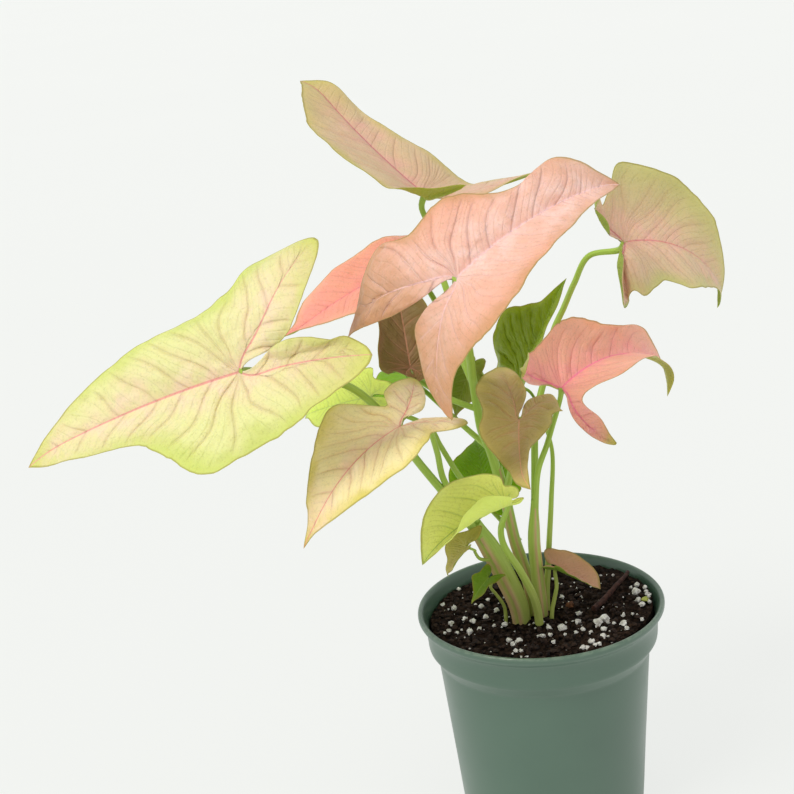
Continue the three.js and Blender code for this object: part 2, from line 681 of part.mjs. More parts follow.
// A round hole through the floor, running past both of its faces.
function drainHole(index) {
  const angle = 2 * Math.PI * (index + 0.5) / POT.drainHoles;
  const sides = 14;
  const overshoot = 2;
  const hole = new THREE.CylinderGeometry(
    POT.drainRadius, POT.drainRadius, POT.floor + 2 * overshoot, sides,
  );
  hole.rotateX(Math.PI / 2);
  hole.translate(
    POT.drainCircle * Math.cos(angle), POT.drainCircle * Math.sin(angle), POT.floor / 2,
  );
  return solidOfGeometry(hole);
}

// ---------------------------------------------------------------- soil
// Inner radius of the pot's wall at a height, less the clearance.
function soilRadius(height) {
  const inner = POT.collarRadius - POT.wall;
  const neck = POT.neckRadius - POT.wall;
  const base = POT.baseRadius - POT.wall;
  let radius = THREE.MathUtils.mapLinear(height, POT.floor, POT.neckHeight + 0.4, base, neck);
  if (height > POT.neckHeight + 0.4) {
    const t = (height - POT.neckHeight - 0.4) / (POT.collarBottom - POT.neckHeight + 0.2);
    radius = THREE.MathUtils.lerp(neck, inner, clamp(t, 0, 1));
  }
  return radius - GAP - 0.1;
}

// The surface of the potting mix: heaped at the right and the front, and lumpy.
function soilHeight(x, y) {
  const rim = POT.collarRadius;
  const right = smooth(clamp((x / rim + 0.1) / 1.1, 0, 1));
  const front = smooth(clamp((-y / rim - 0.2) / 0.8, 0, 1));
  const lumps = Math.sin(0.31 * x + 1.7 * Math.sin(0.23 * y)) * Math.cos(0.37 * y + 0.9);
  const fine = 0.5 * Math.sin(0.83 * x + 0.4) * Math.sin(0.79 * y - 1.1);
  return SOIL.level + SOIL.heapRight * right + SOIL.heapFront * front
    + SOIL.lumpHeight * (lumps + fine);
}

function soilSolid() {
  const count = POT.segments;
  const top = soilRadius(POT.collarBottom + 2);
  const positions = [[0, 0, soilHeight(0, 0)]];
  for (let ring = 1; ring <= SOIL.rings; ring += 1) {
    const radius = top * ring / SOIL.rings;
    for (let j = 0; j < count; j += 1) {
      const angle = 2 * Math.PI * j / count;
      const x = radius * Math.cos(angle);
      const y = radius * Math.sin(angle);
      positions.push([x, y, soilHeight(x, y)]);
    }
  }
  const heights = [POT.collarBottom + 0.6, POT.neckHeight + 0.4, POT.floor + GAP];
  heights.forEach((height) => {
    const radius = soilRadius(height);
    for (let j = 0; j < count; j += 1) {
      const angle = 2 * Math.PI * j / count;
      positions.push([radius * Math.cos(angle), radius * Math.sin(angle), height]);
    }
  });
  positions.push([0, 0, POT.floor + GAP]);
  const rings = SOIL.rings + heights.length;
  const triangles = [];
  for (let j = 0; j < count; j += 1) {
    const next = (j + 1) % count;
    triangles.push([0, 1 + j, 1 + next]);
    for (let ring = 0; ring < rings - 1; ring += 1) {
      const a = 1 + ring * count + j;
      const b = 1 + ring * count + next;
      triangles.push([a, a + count, b + count], [a, b + count, b]);
    }
    const last = 1 + (rings - 1) * count;
    triangles.push([last + j, positions.length - 1, last + next]);
  }
  return solidFrom(positions, triangles);
}

// A plain hole for each stem, round its straight foot and wider than it by the clearance.
function holeSolid({ points, radii }) {
  const clearance = GAP + 0.4;
  const above = 16;
  const [foot, next] = points;
  const slant = [0, 1].map((i) => (next[i] - foot[i]) / (next[2] - foot[2]));
  const mouth = [foot[0] + slant[0] * above, foot[1] + slant[1] * above, foot[2] + above];
  const below = [foot[0] - slant[0], foot[1] - slant[1], foot[2] - 1];
  const radius = radii[0] + clearance;
  return stemSolid({ points: [below, mouth], radii: [radius, radius], steps: 1 });
}

const FEET = [...Object.values(SHEATHS), ...Object.values(LONE_PETIOLES)];

// ---------------------------------------------------------------- twig
const TWIG_ROUTE = [[23.5, -9.5], [31, 1], [38, 11.5], [43, 19.5], [45.2, 24.5]];

function twigSolid() {
  const radii = [1.4, 0.9];
  const points = TWIG_ROUTE.map(([x, y], i) => {
    const lift = radii[0] + GAP + 0.75;
    return [x, y, soilHeight(x, y) + lift];
  });
  return stemSolid({ points, radii });
}

// ---------------------------------------------------------------- assembly
const group = new THREE.Group();

function add(name, geometry, material) {
  const mesh = new THREE.Mesh(geometry, MATERIALS[material]);
  mesh.name = name;
  group.add(mesh);
}

add('pot', potGeometry(), 'pot');
add('soil', geometryOfSolid(soilSolid().subtract(Manifold.union(FEET.map(holeSolid)))), 'soil');
add('twig', geometryOfSolid(twigSolid()), 'twig');
STEMS.forEach(([name, solid]) => add(name, geometryOfSolid(solid), 'stem'));
LEAVES.forEach((leaf) => add(leaf.name, bladeGeometry(leaf), leaf.material));

export default group;
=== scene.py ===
"""Arrowhead plant in its nursery pot: the visual model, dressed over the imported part."""
import math
import random

import bmesh
import bpy
import numpy as np
from mathutils import Matrix, Vector, noise


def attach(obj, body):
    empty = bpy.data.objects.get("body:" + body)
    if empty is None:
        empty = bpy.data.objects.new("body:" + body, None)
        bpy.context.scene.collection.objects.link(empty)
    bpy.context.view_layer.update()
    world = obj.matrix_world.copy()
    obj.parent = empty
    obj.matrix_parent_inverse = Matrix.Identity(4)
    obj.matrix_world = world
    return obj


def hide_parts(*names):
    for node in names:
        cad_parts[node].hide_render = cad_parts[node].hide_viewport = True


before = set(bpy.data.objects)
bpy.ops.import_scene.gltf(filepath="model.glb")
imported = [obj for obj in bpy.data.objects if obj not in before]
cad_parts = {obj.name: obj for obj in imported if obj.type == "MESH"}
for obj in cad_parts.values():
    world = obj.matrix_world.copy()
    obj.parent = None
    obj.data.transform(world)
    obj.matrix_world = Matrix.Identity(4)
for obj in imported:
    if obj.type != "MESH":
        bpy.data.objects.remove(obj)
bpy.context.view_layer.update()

MM = 0.001
RANDOM_SEED = 20

# ---------------------------------------------------------------- sizes, in millimetres
POT = {
    "height": 108, "base_radius": 42, "neck_radius": 49.3, "neck_height": 85,
    "collar_radius": 53, "collar_bottom": 91, "flare_from": 99, "lip_radius": 57, "lip_width": 2.4,
    "wall": 1.3, "floor": 2.2,
    "segments": 192, "drain_holes": 6, "drain_radius": 4, "drain_circle": 30,
}
SOIL = {"level": 101.5, "heap_right": 4.2, "heap_front": 1.2, "lump_height": 0.8}
BLADE = {"thickness": 0.5, "fold_softness": 3}
HINGE = math.radians(80)             # between a leaf's midrib and the line its lobes drop beyond
SHARP_ANGLE = math.radians(55)
POT_SHARP_ANGLE = math.radians(40)

# The studio's light.
WORLD_FRONT = 0.64
WORLD_BACK = 0.84
KEY_POWER = 1.55
KEY_SPREAD = 24
KEY_FROM = (-0.52, -0.42, 0.78)
KEY_COLOUR = (1.0, 0.985, 0.955)
WORLD_COLOUR = (0.98, 0.995, 1.0, 1)
FLOOR_GLOW = 0.76

# The photograph's view.
CAMERA_PITCH = 17.9
CAMERA_ROLL = -5.75
CAMERA_PLACE = (-56.5, -674.65, 432.0)
FOCAL_PIXELS = 1600
PHOTO_PIXELS = 794
SENSOR = 36


def camera_axes():
    """The camera's right, up and forward directions."""
    pitch = math.radians(CAMERA_PITCH)
    roll = math.radians(CAMERA_ROLL)
    forward = Vector((0, math.cos(pitch), -math.sin(pitch)))
    level_up = Vector((0, math.sin(pitch), math.cos(pitch)))
    level_right = Vector((1, 0, 0))
    right = math.cos(roll) * level_right + math.sin(roll) * level_up
    up = -math.sin(roll) * level_right + math.cos(roll) * level_up
    return right, up, forward


# ---------------------------------------------------------------- the leaves
# The shape keys are the part's own: joint in the row frame, angles in degrees, lengths in
# millimetres, pairs left side first, or one value where both sides are alike. `quilt` is how far
# the blade puffs up between its veins, `wave` how far its margin undulates, and each of `rolls`
# turns up what lies beyond a line on one side. What a leaf doesn't give is in USUAL.
NONE = (0, 0, 0, 0, 0, 0)
USUAL = dict(
    splay=40, droop=15, lobe_curl=10, sweep=0, twist=0, margin=(NONE, NONE), quilt=0.4, wave=0.5,
    veins=5, rolls=(),
)
PAIRS = ("lobe_breadth", "lobes", "splay", "fold", "cup", "droop", "lobe_curl", "quilt")

LEAF_SHAPES = {
    "leaf_left_large": dict(
        joint=(-117, -75, 255), heading=165, pitch=-15, roll=-72, length=104, half_width=31,
        lobe_breadth=30, lobes=(61, 60), splay=(12, 45), fold=(20, 19), cup=(-2, -56), bend=-2,
        curl=16, sweep=13, twist=21, droop=(-19, -14), lobe_curl=(27, 17),
        margin=((3.5, 0, -7, 7, 2.5, -5), (2, 1.5, -1, -3, 5, 0)), quilt=0.9, wave=1.2, veins=7,
        rolls=(dict(side=0, at=(-0.5, -2.6), heading=168, turn=50, radius=4),),
        slot="leaf_lime_pink",
    ),
    "leaf_top": dict(
        joint=(-35.5, 19.5, 299.5), heading=134, pitch=31, roll=10, length=98, half_width=27,
        lobe_breadth=16, lobes=(24, 52), splay=(10, 56), fold=(16, 9), cup=(-19, 1), bend=-4,
        curl=23, sweep=-12, twist=-14, droop=(-50, -40), lobe_curl=(0, 7),
        margin=((4, 7, 5.5, 1, -2, -4), (5, 1, -6, -3, 4, 2)), quilt=0.3, wave=0.9, veins=7,
        slot="leaf_tan",
    ),
    "leaf_centre_front": dict(
        joint=(-29.5, -81, 285.5), heading=10, pitch=37, roll=53, length=87, half_width=27,
        lobe_breadth=25, lobes=(66, 57), splay=(37, 24), fold=(16, 35), cup=(-36, -1), bend=51,
        curl=11, sweep=-12, twist=3, droop=(24, 21), lobe_curl=(17, 58),
        margin=((3, 7, -7, 1.5, 0, 5.5), (1, -1.5, -3, -1.5, 7, -7)), quilt=(0.95, 0.4), wave=0.9,
        veins=8, slot="leaf_pink",
    ),
    "leaf_right_high": dict(
        joint=(45.5, -16, 277.5), heading=20, pitch=-1, roll=29, length=72, half_width=28,
        lobe_breadth=12, lobes=(33, 36), splay=(48, 51), fold=(35, 3), cup=(38, -39), bend=69,
        curl=23, sweep=-25, twist=5, droop=(-30, 90), lobe_curl=(-30, 55),
        margin=((1, 3.5, 1, 2.5, 7, -5), (1.6, 0, 0, -7, 0, 0)), wave=0.9, veins=6,
        rolls=(
            dict(side=1, at=(-1.0, 0.5), heading=120, turn=150, radius=2),
            dict(side=0, at=(-2.0, 0.2), heading=134, turn=135, radius=1.5),
        ),
        slot="leaf_tan",
    ),
    "leaf_right_coral": dict(
        joint=(17.5, 8.5, 208), heading=41, pitch=21, roll=18, length=97, half_width=22,
        lobe_breadth=(12, 6), lobes=(54, 48), splay=55, fold=(35, 8), cup=(39, 28), bend=70,
        curl=46, sweep=-18, twist=-8, droop=(-30, 36), lobe_curl=(-10, 15),
        margin=((1, 7, -2.5, 2.5, 2, -1.5), (1, -4.5, 0, 1, -6.5, 1)), quilt=0.6, wave=0.8, veins=7,
        slot="leaf_coral",
    ),
    "leaf_centre_low": dict(
        joint=(-6.5, -41.5, 212.5), heading=-99, pitch=-17, roll=15, length=53, half_width=15,
        lobe_breadth=16, lobes=(32, 41), splay=(37, 13), fold=(13, 19), cup=(-49, 15), bend=-10,
        curl=28, sweep=14, twist=30, droop=(16, -5), lobe_curl=(3, 17),
        margin=((1, -2, -5.5, -1.5, 0, -2.5), (2, -1, -2, 2, 1, 1)), quilt=0.8, wave=0.7,
        slot="leaf_olive",
    ),
    "leaf_left_low": dict(
        joint=(-56.5, -71.5, 225), heading=199, pitch=-19, roll=4, length=64, half_width=25,
        lobe_breadth=14, lobes=(30, 39), splay=(44, 53), fold=9, cup=(-22, 19), bend=53, curl=-10,
        sweep=2, twist=-31, droop=(13, 21), lobe_curl=(23, 14),
        margin=((0, 0, 0, 3, 1, -1.5), (0, 0, 1, 6, -7, 0)), quilt=0.8, wave=0.8, veins=6,
        slot="leaf_tan",
    ),
    "leaf_back_dark": dict(
        joint=(2, 52, 196.5), heading=-34, pitch=66, roll=32, length=60.5, half_width=25.5,
        lobe_breadth=15, lobes=(38, 36), fold=(22, 15), cup=(19, 3), bend=7, curl=4, sweep=1,
        twist=21, margin=((0, -2, 5, 1.5, -2.5, 0), NONE), quilt=1.3, wave=0.9, veins=6,
        slot="leaf_green",
    ),
    "leaf_front_lime": dict(
        joint=(-15.5, -52, 180.5), heading=188, pitch=-13, roll=-46, length=45, half_width=15.5,
        lobe_breadth=7, lobes=(9, 8), splay=(40, 30), fold=(56, 6), cup=(62, 4), bend=8, curl=18,
        sweep=31, droop=0, lobe_curl=0, margin=((0.5, 2, 3, 3, -2, 0), (3, 6, 5, 1, -4, -1)),
        quilt=0.5, wave=0.6, slot="leaf_lime",
    ),
    "leaf_young_green": dict(
        joint=(-20, 12, 158), heading=95, pitch=43, roll=-5, length=39, half_width=16.5,
        lobe_breadth=9, lobes=14, fold=(13, 12), cup=(1, 0), bend=30, curl=14, sweep=-4, twist=-1,
        margin=((0, 0, 1, 0, 0, 0), NONE), slot="leaf_green",
    ),
    "leaf_behind_lime": dict(
        joint=(-67.5, -25, 223.5), heading=173, pitch=-7, roll=-34, length=36, half_width=17,
        lobe_breadth=8, lobes=12, fold=(11, 7), cup=(-1, -7), bend=31, curl=29, sweep=-8, twist=-15,
        margin=((0, 1.5, 0, 0, 0, 0), (0, 0, 2, -2.5, -1, 0)), slot="leaf_lime",
    ),
    "leaf_behind_coral": dict(
        joint=(-44.5, 42, 264.5), heading=197, pitch=-13, roll=-14, length=70, half_width=25,
        lobe_breadth=17, lobes=(43, 44), splay=(40, 25), fold=9, cup=(-3, -7), bend=22, curl=-19,
        sweep=2, twist=-8, droop=(15, 10), lobe_curl=(10, 9),
        margin=((-1.2, 0, 0, 0, 0, 0), (0, 4, -1.5, -3, 1, 0)), quilt=0.45, wave=0.9, veins=6,
        slot="leaf_coral",
    ),
    "leaf_shaded": dict(
        joint=(-49.3, -0.8, 227), heading=100, pitch=70, roll=0, length=52, half_width=17,
        lobe_breadth=14, lobes=(10, 15), splay=45, fold=20, cup=30, bend=10, curl=10, droop=-55,
        lobe_curl=-20, quilt=0.6, veins=6, slot="leaf_olive",
    ),
    "leaf_inner_green": dict(
        joint=(-50, 24, 216), heading=246, pitch=-22, roll=12, length=36.5, half_width=16,
        lobe_breadth=9, lobes=22.5, fold=(12, 11), cup=(0, -1), bend=13, curl=3, sweep=7, twist=7,
        droop=(15, 14), margin=(NONE, (0, 0, 2.5, 0, 0, 0)), slot="leaf_green",
    ),
    "leaf_inner_olive": dict(
        joint=(-23, 7, 221), heading=200, pitch=-62, roll=-20, length=24, half_width=10,
        lobe_breadth=8, lobes=9, fold=(10, 12), cup=(-3, 0), bend=15, curl=15, sweep=-5, twist=-4,
        margin=((0, 0, 1, 1.5, 0, 0), NONE), quilt=0.3, wave=0.3, veins=4, slot="leaf_olive",
    ),
    "leaf_base_olive": dict(
        joint=(-33, -27, 151), heading=162, pitch=-42, roll=-19, length=20, half_width=8.5,
        lobe_breadth=4.5, lobes=12, splay=(60, 35), fold=(11, 14), cup=(17, 22), bend=29, curl=24,
        twist=-18, droop=(-5, 25), lobe_curl=(6, 15), margin=(NONE, (1, 0, 2, 1, 0, 0)), quilt=0.2,
        wave=0.3, veins=4, slot="leaf_olive",
    ),
    "leaf_base_green": dict(
        joint=(-24.5, -22.5, 132.5), heading=210, pitch=-33, roll=-11, length=13.5, half_width=5.5,
        lobe_breadth=3.5, lobes=8.5, splay=(40, 41), fold=(13, 14), cup=(1, 6), bend=25, curl=10,
        sweep=-1, twist=-1, droop=(15, 13), margin=((0, 0, 0, -2, 0, 0), (0, -1, 0, 1.5, 0, 0)),
        quilt=0.15, wave=0.2, veins=4, slot="leaf_green",
    ),
    "leaf_base_pink": dict(
        joint=(9, -4, 126.3), heading=-23, pitch=-20, roll=33, length=22, half_width=9,
        lobe_breadth=6, lobes=(11, 9), splay=(35, 45), fold=(10, 70), cup=(6, 12), bend=20, curl=12,
        droop=10, lobe_curl=5, margin=((2.5, 3, 1, 0, 0, 0), NONE), quilt=0.25, wave=0.4, veins=4,
        slot="leaf_tan",
    ),
}


def whole_leaf(leaf):
    """The leaf with the usual values filled in, and a left and a right one where sides can differ."""
    leaf = {**USUAL, **leaf}
    for key in PAIRS:
        if not isinstance(leaf[key], tuple):
            leaf[key] = (leaf[key], leaf[key])
    return leaf


LEAVES = {name: whole_leaf(leaf) for name, leaf in LEAF_SHAPES.items()}

# Each leaf's colours, as 8-bit sRGB. core is the blade, edge its margin, flush the tint that
# spreads from the ribs, tip the drip tip and lobe ends, under the lower face. lateral is how
# strongly its lateral veins show, and wash one more colour that comes in along a heading; on
# some leaves the wash is partly painted shade.
USUAL_COLOURS = dict(flush_amount=0.5, lateral=0.45, wash=None)
PALETTES = {
    "leaf_left_large": dict(
        core=(230, 229, 160), edge=(206, 216, 116), flush=(251, 217, 194), vein=(240, 160, 154),
        tip=(208, 212, 108), under=(178, 168, 88), flush_reach=22, edge_reach=13, flush_amount=0.8,
        # The wash turns the lobes olive: partly their own tone, partly painted shade on the lobes.
        lateral=0.18, wash=dict(colour=(208, 202, 118), heading=180, start=12, end=60),
    ),
    "leaf_top": dict(
        core=(214, 188, 150), edge=(198, 184, 118), flush=(226, 178, 160), vein=(206, 112, 124),
        tip=(192, 182, 92), under=(170, 178, 66), flush_reach=18, edge_reach=7, flush_amount=0.9,
        lateral=0.12, wash=dict(colour=(200, 186, 112), heading=0, start=40, end=98),
    ),
    "leaf_centre_front": dict(
        core=(242, 181, 157), edge=(212, 158, 118), flush=(255, 215, 206), vein=(255, 212, 208),
        tip=(220, 160, 122), under=(176, 150, 98), flush_reach=26, edge_reach=9, flush_amount=0.85,
        # The wash turns the lobes tan-brown: partly the leaf's own tan, partly painted shade.
        lateral=0.35, wash=dict(colour=(196, 146, 96), heading=178, start=-6, end=34),
    ),
    "leaf_right_high": dict(
        core=(222, 198, 160), edge=(204, 200, 130), flush=(240, 190, 174), vein=(226, 138, 140),
        tip=(132, 166, 52), under=(158, 176, 78), flush_reach=22, edge_reach=12, flush_amount=0.85,
        lateral=0.05, wash=dict(colour=(210, 204, 136), heading=70, start=6, end=34),
    ),
    "leaf_right_coral": dict(
        core=(255, 186, 162), edge=(255, 178, 148), flush=(255, 168, 170), vein=(255, 134, 170),
        tip=(206, 196, 96), under=(186, 180, 92), flush_reach=14, edge_reach=5, flush_amount=0.8,
        lateral=0.2, wash=dict(colour=(206, 192, 98), heading=236, start=30, end=48),
    ),
    "leaf_centre_low": dict(
        core=(178, 158, 88), edge=(192, 174, 98), flush=(198, 164, 124), vein=(222, 166, 128),
        tip=(190, 178, 96), under=(146, 144, 72), flush_reach=10, edge_reach=6, flush_amount=0.7,
    ),
    "leaf_left_low": dict(
        core=(255, 234, 176), edge=(224, 208, 114), flush=(255, 218, 188), vein=(240, 142, 138),
        tip=(196, 184, 84), under=(148, 160, 74), flush_reach=15, edge_reach=8, flush_amount=0.9,
        lateral=0.28,
    ),
    "leaf_back_dark": dict(
        core=(130, 150, 0), edge=(140, 160, 6), flush=(112, 134, 2), vein=(140, 170, 50),
        tip=(104, 140, 40), under=(118, 150, 66), flush_reach=10, edge_reach=5,
    ),
    "leaf_front_lime": dict(
        core=(248, 255, 136), edge=(250, 255, 146), flush=(236, 250, 128), vein=(184, 208, 104),
        tip=(212, 232, 120), under=(226, 242, 116), flush_reach=9, edge_reach=6,
    ),
    "leaf_young_green": dict(
        core=(122, 168, 10), edge=(134, 178, 18), flush=(112, 156, 8), vein=(136, 174, 50),
        tip=(120, 164, 24), under=(120, 156, 50), flush_reach=8, edge_reach=4,
    ),
    "leaf_behind_lime": dict(
        core=(232, 252, 122), edge=(232, 252, 130), flush=(222, 246, 122), vein=(206, 226, 128),
        tip=(170, 200, 84), under=(140, 180, 70), flush_reach=8, edge_reach=5,
    ),
    "leaf_behind_coral": dict(
        core=(255, 170, 148), edge=(252, 176, 148), flush=(255, 160, 152), vein=(248, 140, 148),
        tip=(244, 170, 146), under=(190, 190, 90), flush_reach=12, edge_reach=5, flush_amount=0.8,
        lateral=0.2,
    ),
    "leaf_shaded": dict(
        core=(132, 110, 64), edge=(146, 104, 78), flush=(150, 112, 84), vein=(196, 140, 110),
        tip=(140, 120, 70), under=(140, 150, 90), flush_reach=9, edge_reach=5, flush_amount=0.7,
    ),
    "leaf_inner_green": dict(
        core=(130, 176, 40), edge=(138, 184, 46), flush=(122, 166, 36), vein=(136, 182, 60),
        tip=(116, 168, 40), under=(120, 160, 60), flush_reach=8, edge_reach=4,
    ),
    "leaf_inner_olive": dict(
        core=(124, 142, 34), edge=(120, 128, 40), flush=(130, 140, 40), vein=(150, 160, 70),
        tip=(120, 130, 60), under=(130, 140, 60), flush_reach=6, edge_reach=4,
    ),
    "leaf_base_olive": dict(
        core=(178, 170, 78), edge=(190, 174, 84), flush=(184, 160, 84), vein=(196, 190, 100),
        tip=(196, 176, 90), under=(150, 160, 66), flush_reach=5, edge_reach=3,
    ),
    "leaf_base_green": dict(
        core=(112, 146, 34), edge=(116, 140, 30), flush=(104, 134, 26), vein=(140, 166, 60),
        tip=(150, 156, 50), under=(120, 144, 50), flush_reach=4, edge_reach=2,
    ),
    "leaf_base_pink": dict(
        core=(200, 158, 124), edge=(196, 152, 112), flush=(206, 156, 130), vein=(216, 160, 140),
        tip=(190, 150, 110), under=(128, 158, 56), flush_reach=6, edge_reach=3, flush_amount=0.6,
    ),
}


# How rough the glossier leaves are, and the others.
GLOSSY_LEAVES = {"leaf_back_dark": 0.25, "leaf_inner_green": 0.36, "leaf_young_green": 0.38}
SATIN = 0.46


# ---------------------------------------------------------------- curves
def blend(t, start, end, a, b):
    """a where t is start, b where t is end, and a straight run between them."""
    return (end - t) / (end - start) * a + (t - start) / (end - start) * b


def centripetal_curve(points, divisions):
    """A centripetal Catmull-Rom curve through the points, `divisions` samples to each stretch."""
    points = np.asarray(points, float)
    points = np.vstack([2 * points[0] - points[1], points, 2 * points[-1] - points[-2]])
    gaps = np.sqrt(np.linalg.norm(np.diff(points, axis=0), axis=1))
    knots = np.concatenate([[0], np.cumsum(gaps)])
    samples = []
    for i in range(1, len(points) - 2):
        p0, p1, p2, p3 = points[i - 1:i + 3]
        t0, t1, t2, t3 = knots[i - 1:i + 3]
        t = np.linspace(t1, t2, divisions + 1)[:-1, None]
        a = blend(t, t0, t1, p0, p1)
        b = blend(t, t1, t2, p1, p2)
        c = blend(t, t2, t3, p2, p3)
        samples.append(blend(t, t1, t2, blend(t, t0, t2, a, b), blend(t, t1, t3, b, c)))
    samples.append(points[-2][None])
    return np.vstack(samples)


def evenly_spaced(curve, steps):
    """steps + 1 points along a sampled curve, evenly spaced along its length."""
    lengths = np.linalg.norm(np.diff(curve, axis=0), axis=1)
    reached = np.concatenate([[0], np.cumsum(lengths)])
    wanted = np.linspace(0, reached[-1], steps + 1)
    columns = [np.interp(wanted, reached, curve[:, k]) for k in range(curve.shape[1])]
    return np.stack(columns, axis=-1)


def smooth(t):
    return t * t * (3 - 2 * t)


def smoothstep(low, high, value):
    return smooth(np.clip((value - low) / (high - low), 0, 1))


# ---------------------------------------------------------------- leaf shape
STATIONS = (0.88, 0.70, 0.45, 0.20, -0.03)       # along a side, as shares of the length
HALF_WIDTHS = (0.11, 0.40, 0.79, 1.00, 0.98)     # there, as shares of the half width
LARGE_LEAF = 90                      # the length whose relief and ribs are at full size
SIGNS = (1, -1)                      # of y on the left and the right side
MARGIN_WAVES = (2.6, 5.7)            # along one side's margin, from tip to sinus
LEAST_TURN = math.radians(0.05)      # about the joint, from one outline point to the next
NOTCH_TURN = 0.14                    # how far the lobes stand apart close to the joint
NOTCH_REACH = 0.09                   # share of the leaf's length


def leaf_seed(leaf):
    return int(10 * leaf["length"]) + leaf["heading"]


def leaf_size(leaf):
    """The leaf's length as a share of a large leaf's."""
    return leaf["length"] / LARGE_LEAF


def both_sides(function, leaf, x, y, sides, *more):
    """Runs a one-sided function over the points of both sides, y turned to point outward."""
    results = None
    for side in (0, 1):
        mine = sides == side
        made = function(leaf, side, x[mine], y[mine] * SIGNS[side], *(m[mine] for m in more))
        made = made if isinstance(made, tuple) else (made,)
        if results is None:
            results = [np.zeros(len(x)) for _ in made]
        for whole, part in zip(results, made):
            whole[mine] = part
    return results if len(results) > 1 else results[0]


def polar(x, y):
    """Radius and angle about the joint, with the angle between -90 and 270 degrees."""
    angle = np.arctan2(y, x)
    return np.hypot(x, y), np.where(angle < -np.pi / 2, angle + 2 * np.pi, angle)


def ripples(x, y, wavelength, seed):
    """A smooth uneven field of about 1 either way, in waves of about the given length."""
    rng = random.Random(seed)
    total = np.zeros(np.shape(x))
    for _ in range(6):
        heading = rng.uniform(0, 2 * math.pi)
        turns = 2 * math.pi / (wavelength * rng.uniform(0.7, 1.5))
        along = x * math.cos(heading) + y * math.sin(heading)
        total = total + np.sin(along * turns + rng.uniform(0, 2 * math.pi))
    return total / 2.4


def lobe_directions(leaf, side):
    """Unit vectors along a basal lobe's rib and across it, outward."""
    angle = math.radians(leaf["splay"][side])
    along = np.array([-math.cos(angle), math.sin(angle)])
    across = np.array([math.sin(angle), math.cos(angle)])
    return along, across


def outline_pattern(leaf, side):
    """The outline's points on one side, from the tip past the lobe to the sinus."""
    along, across = lobe_directions(leaf, side)
    lobe = leaf["lobes"][side]
    margin = leaf["margin"][side]
    breadth = leaf["lobe_breadth"][side]
    points = [(leaf["length"], 0)]
    for i, station in enumerate(STATIONS):
        points.append((station * leaf["length"], HALF_WIDTHS[i] * leaf["half_width"] + margin[i]))
    on_lobe = [
        (0.62, breadth * 0.80 + margin[5]), (0.90, breadth * 0.32), (1.00, 0),
        (0.86, -breadth * 0.28), (0.45, -breadth * 0.42), (0.10, -breadth * 0.11),
    ]
    for share, out in on_lobe:
        points.append(tuple(along * share * lobe + across * out))
    return points


def turn_onward(points):
    """Keeps the outline turning one way about the joint, so that the rings never fold."""
    radius, angles = polar(*points.T)
    turned = LEAST_TURN * np.arange(len(points))
    onward = np.maximum.accumulate(angles - turned) + turned
    return np.stack([radius * np.cos(onward), radius * np.sin(onward)], axis=-1)


def flat_outline(leaf, side, steps):
    """One side's outline from the tip to the sinus, slightly uneven as grown."""
    points = evenly_spaced(centripetal_curve(outline_pattern(leaf, side), 40), steps)
    x, y = points.T
    seed = leaf_seed(leaf) + side
    uneven = 0.32 * ripples(x, y, 13, seed) + 0.16 * ripples(x, y, 5.5, seed + 2)
    share = np.linspace(0, 1, steps + 1)
    held = smoothstep(0, 0.10, share) * smoothstep(1, 0.92, share)
    radius = np.maximum(np.hypot(x, y), 1)
    scale = 1 + math.sqrt(leaf_size(leaf)) * uneven * held / radius
    return turn_onward(points * scale[:, None])


def bent_strip(slope, distance):
    """Runs along a strip that turns by slope(d): how far it gets, how high, and its last angle."""
    steps = 40
    shares = (np.arange(steps) + 0.5) / steps
    angles = slope(distance[:, None] * shares)
    run = np.cos(angles).mean(axis=1) * distance
    rise = np.sin(angles).mean(axis=1) * distance
    return run, rise, slope(distance)


def bend_beyond(x, y, z, at, heading, slope):
    """Bends what lies beyond a line through `at`, upward by slope(distance)."""
    along = (math.cos(heading), math.sin(heading))
    out = (-along[1], along[0])
    px = x - at[0]
    py = y - at[1]
    distance = px * out[0] + py * out[1]
    offset = px * along[0] + py * along[1]
    run, rise, angle = bent_strip(slope, np.maximum(distance, 0))
    across = np.where(distance > 0, run - z * np.sin(angle), distance)
    new_x = at[0] + offset * along[0] + across * out[0]
    new_y = at[1] + offset * along[1] + across * out[1]
    return new_x, new_y, np.where(distance > 0, rise + z * np.cos(angle), z)


def roll_edge(x, y, z, line):
    """Rolls what lies beyond a line upward, round a gentle bend."""
    turn = math.radians(line["turn"])

    def slope(d):
        return turn * smooth(np.clip(d / line["radius"], 0, 1))

    return bend_beyond(x, y, z, line["at"], math.radians(line["heading"]), slope)


def drop_lobe(leaf, side, x, y, z):
    """The basal lobe drops beyond a hinge line that runs out from the petiole joint."""
    lobe = leaf["lobes"][side]
    drop = math.radians(leaf["droop"][side])
    curl = math.radians(leaf["lobe_curl"][side])

    def slope(d):
        far = np.clip(d / lobe, 0, 1.3)
        return -(drop * smooth(np.clip(d / (0.30 * lobe), 0, 1)) + curl * far * far)

    return bend_beyond(x, y, z, (0, 0), HINGE, slope)


def crease_and_cup(leaf, side, y, z):
    """Folds a side up from the midrib and bends it up or down towards its margin."""
    fold = math.radians(leaf["fold"][side])
    cup = math.radians(leaf["cup"][side])
    across = np.maximum(y, 0)

    def slope(d):
        return fold * np.tanh(d / BLADE["fold_softness"]) + cup * d / leaf["half_width"]

    run, rise, angle = bent_strip(slope, across)
    outward = np.where(y > 0, run, y)
    return outward - z * np.sin(angle), rise + z * np.cos(angle)


def rotation(axis, angle):
    return np.array(Matrix.Rotation(angle, 3, axis))


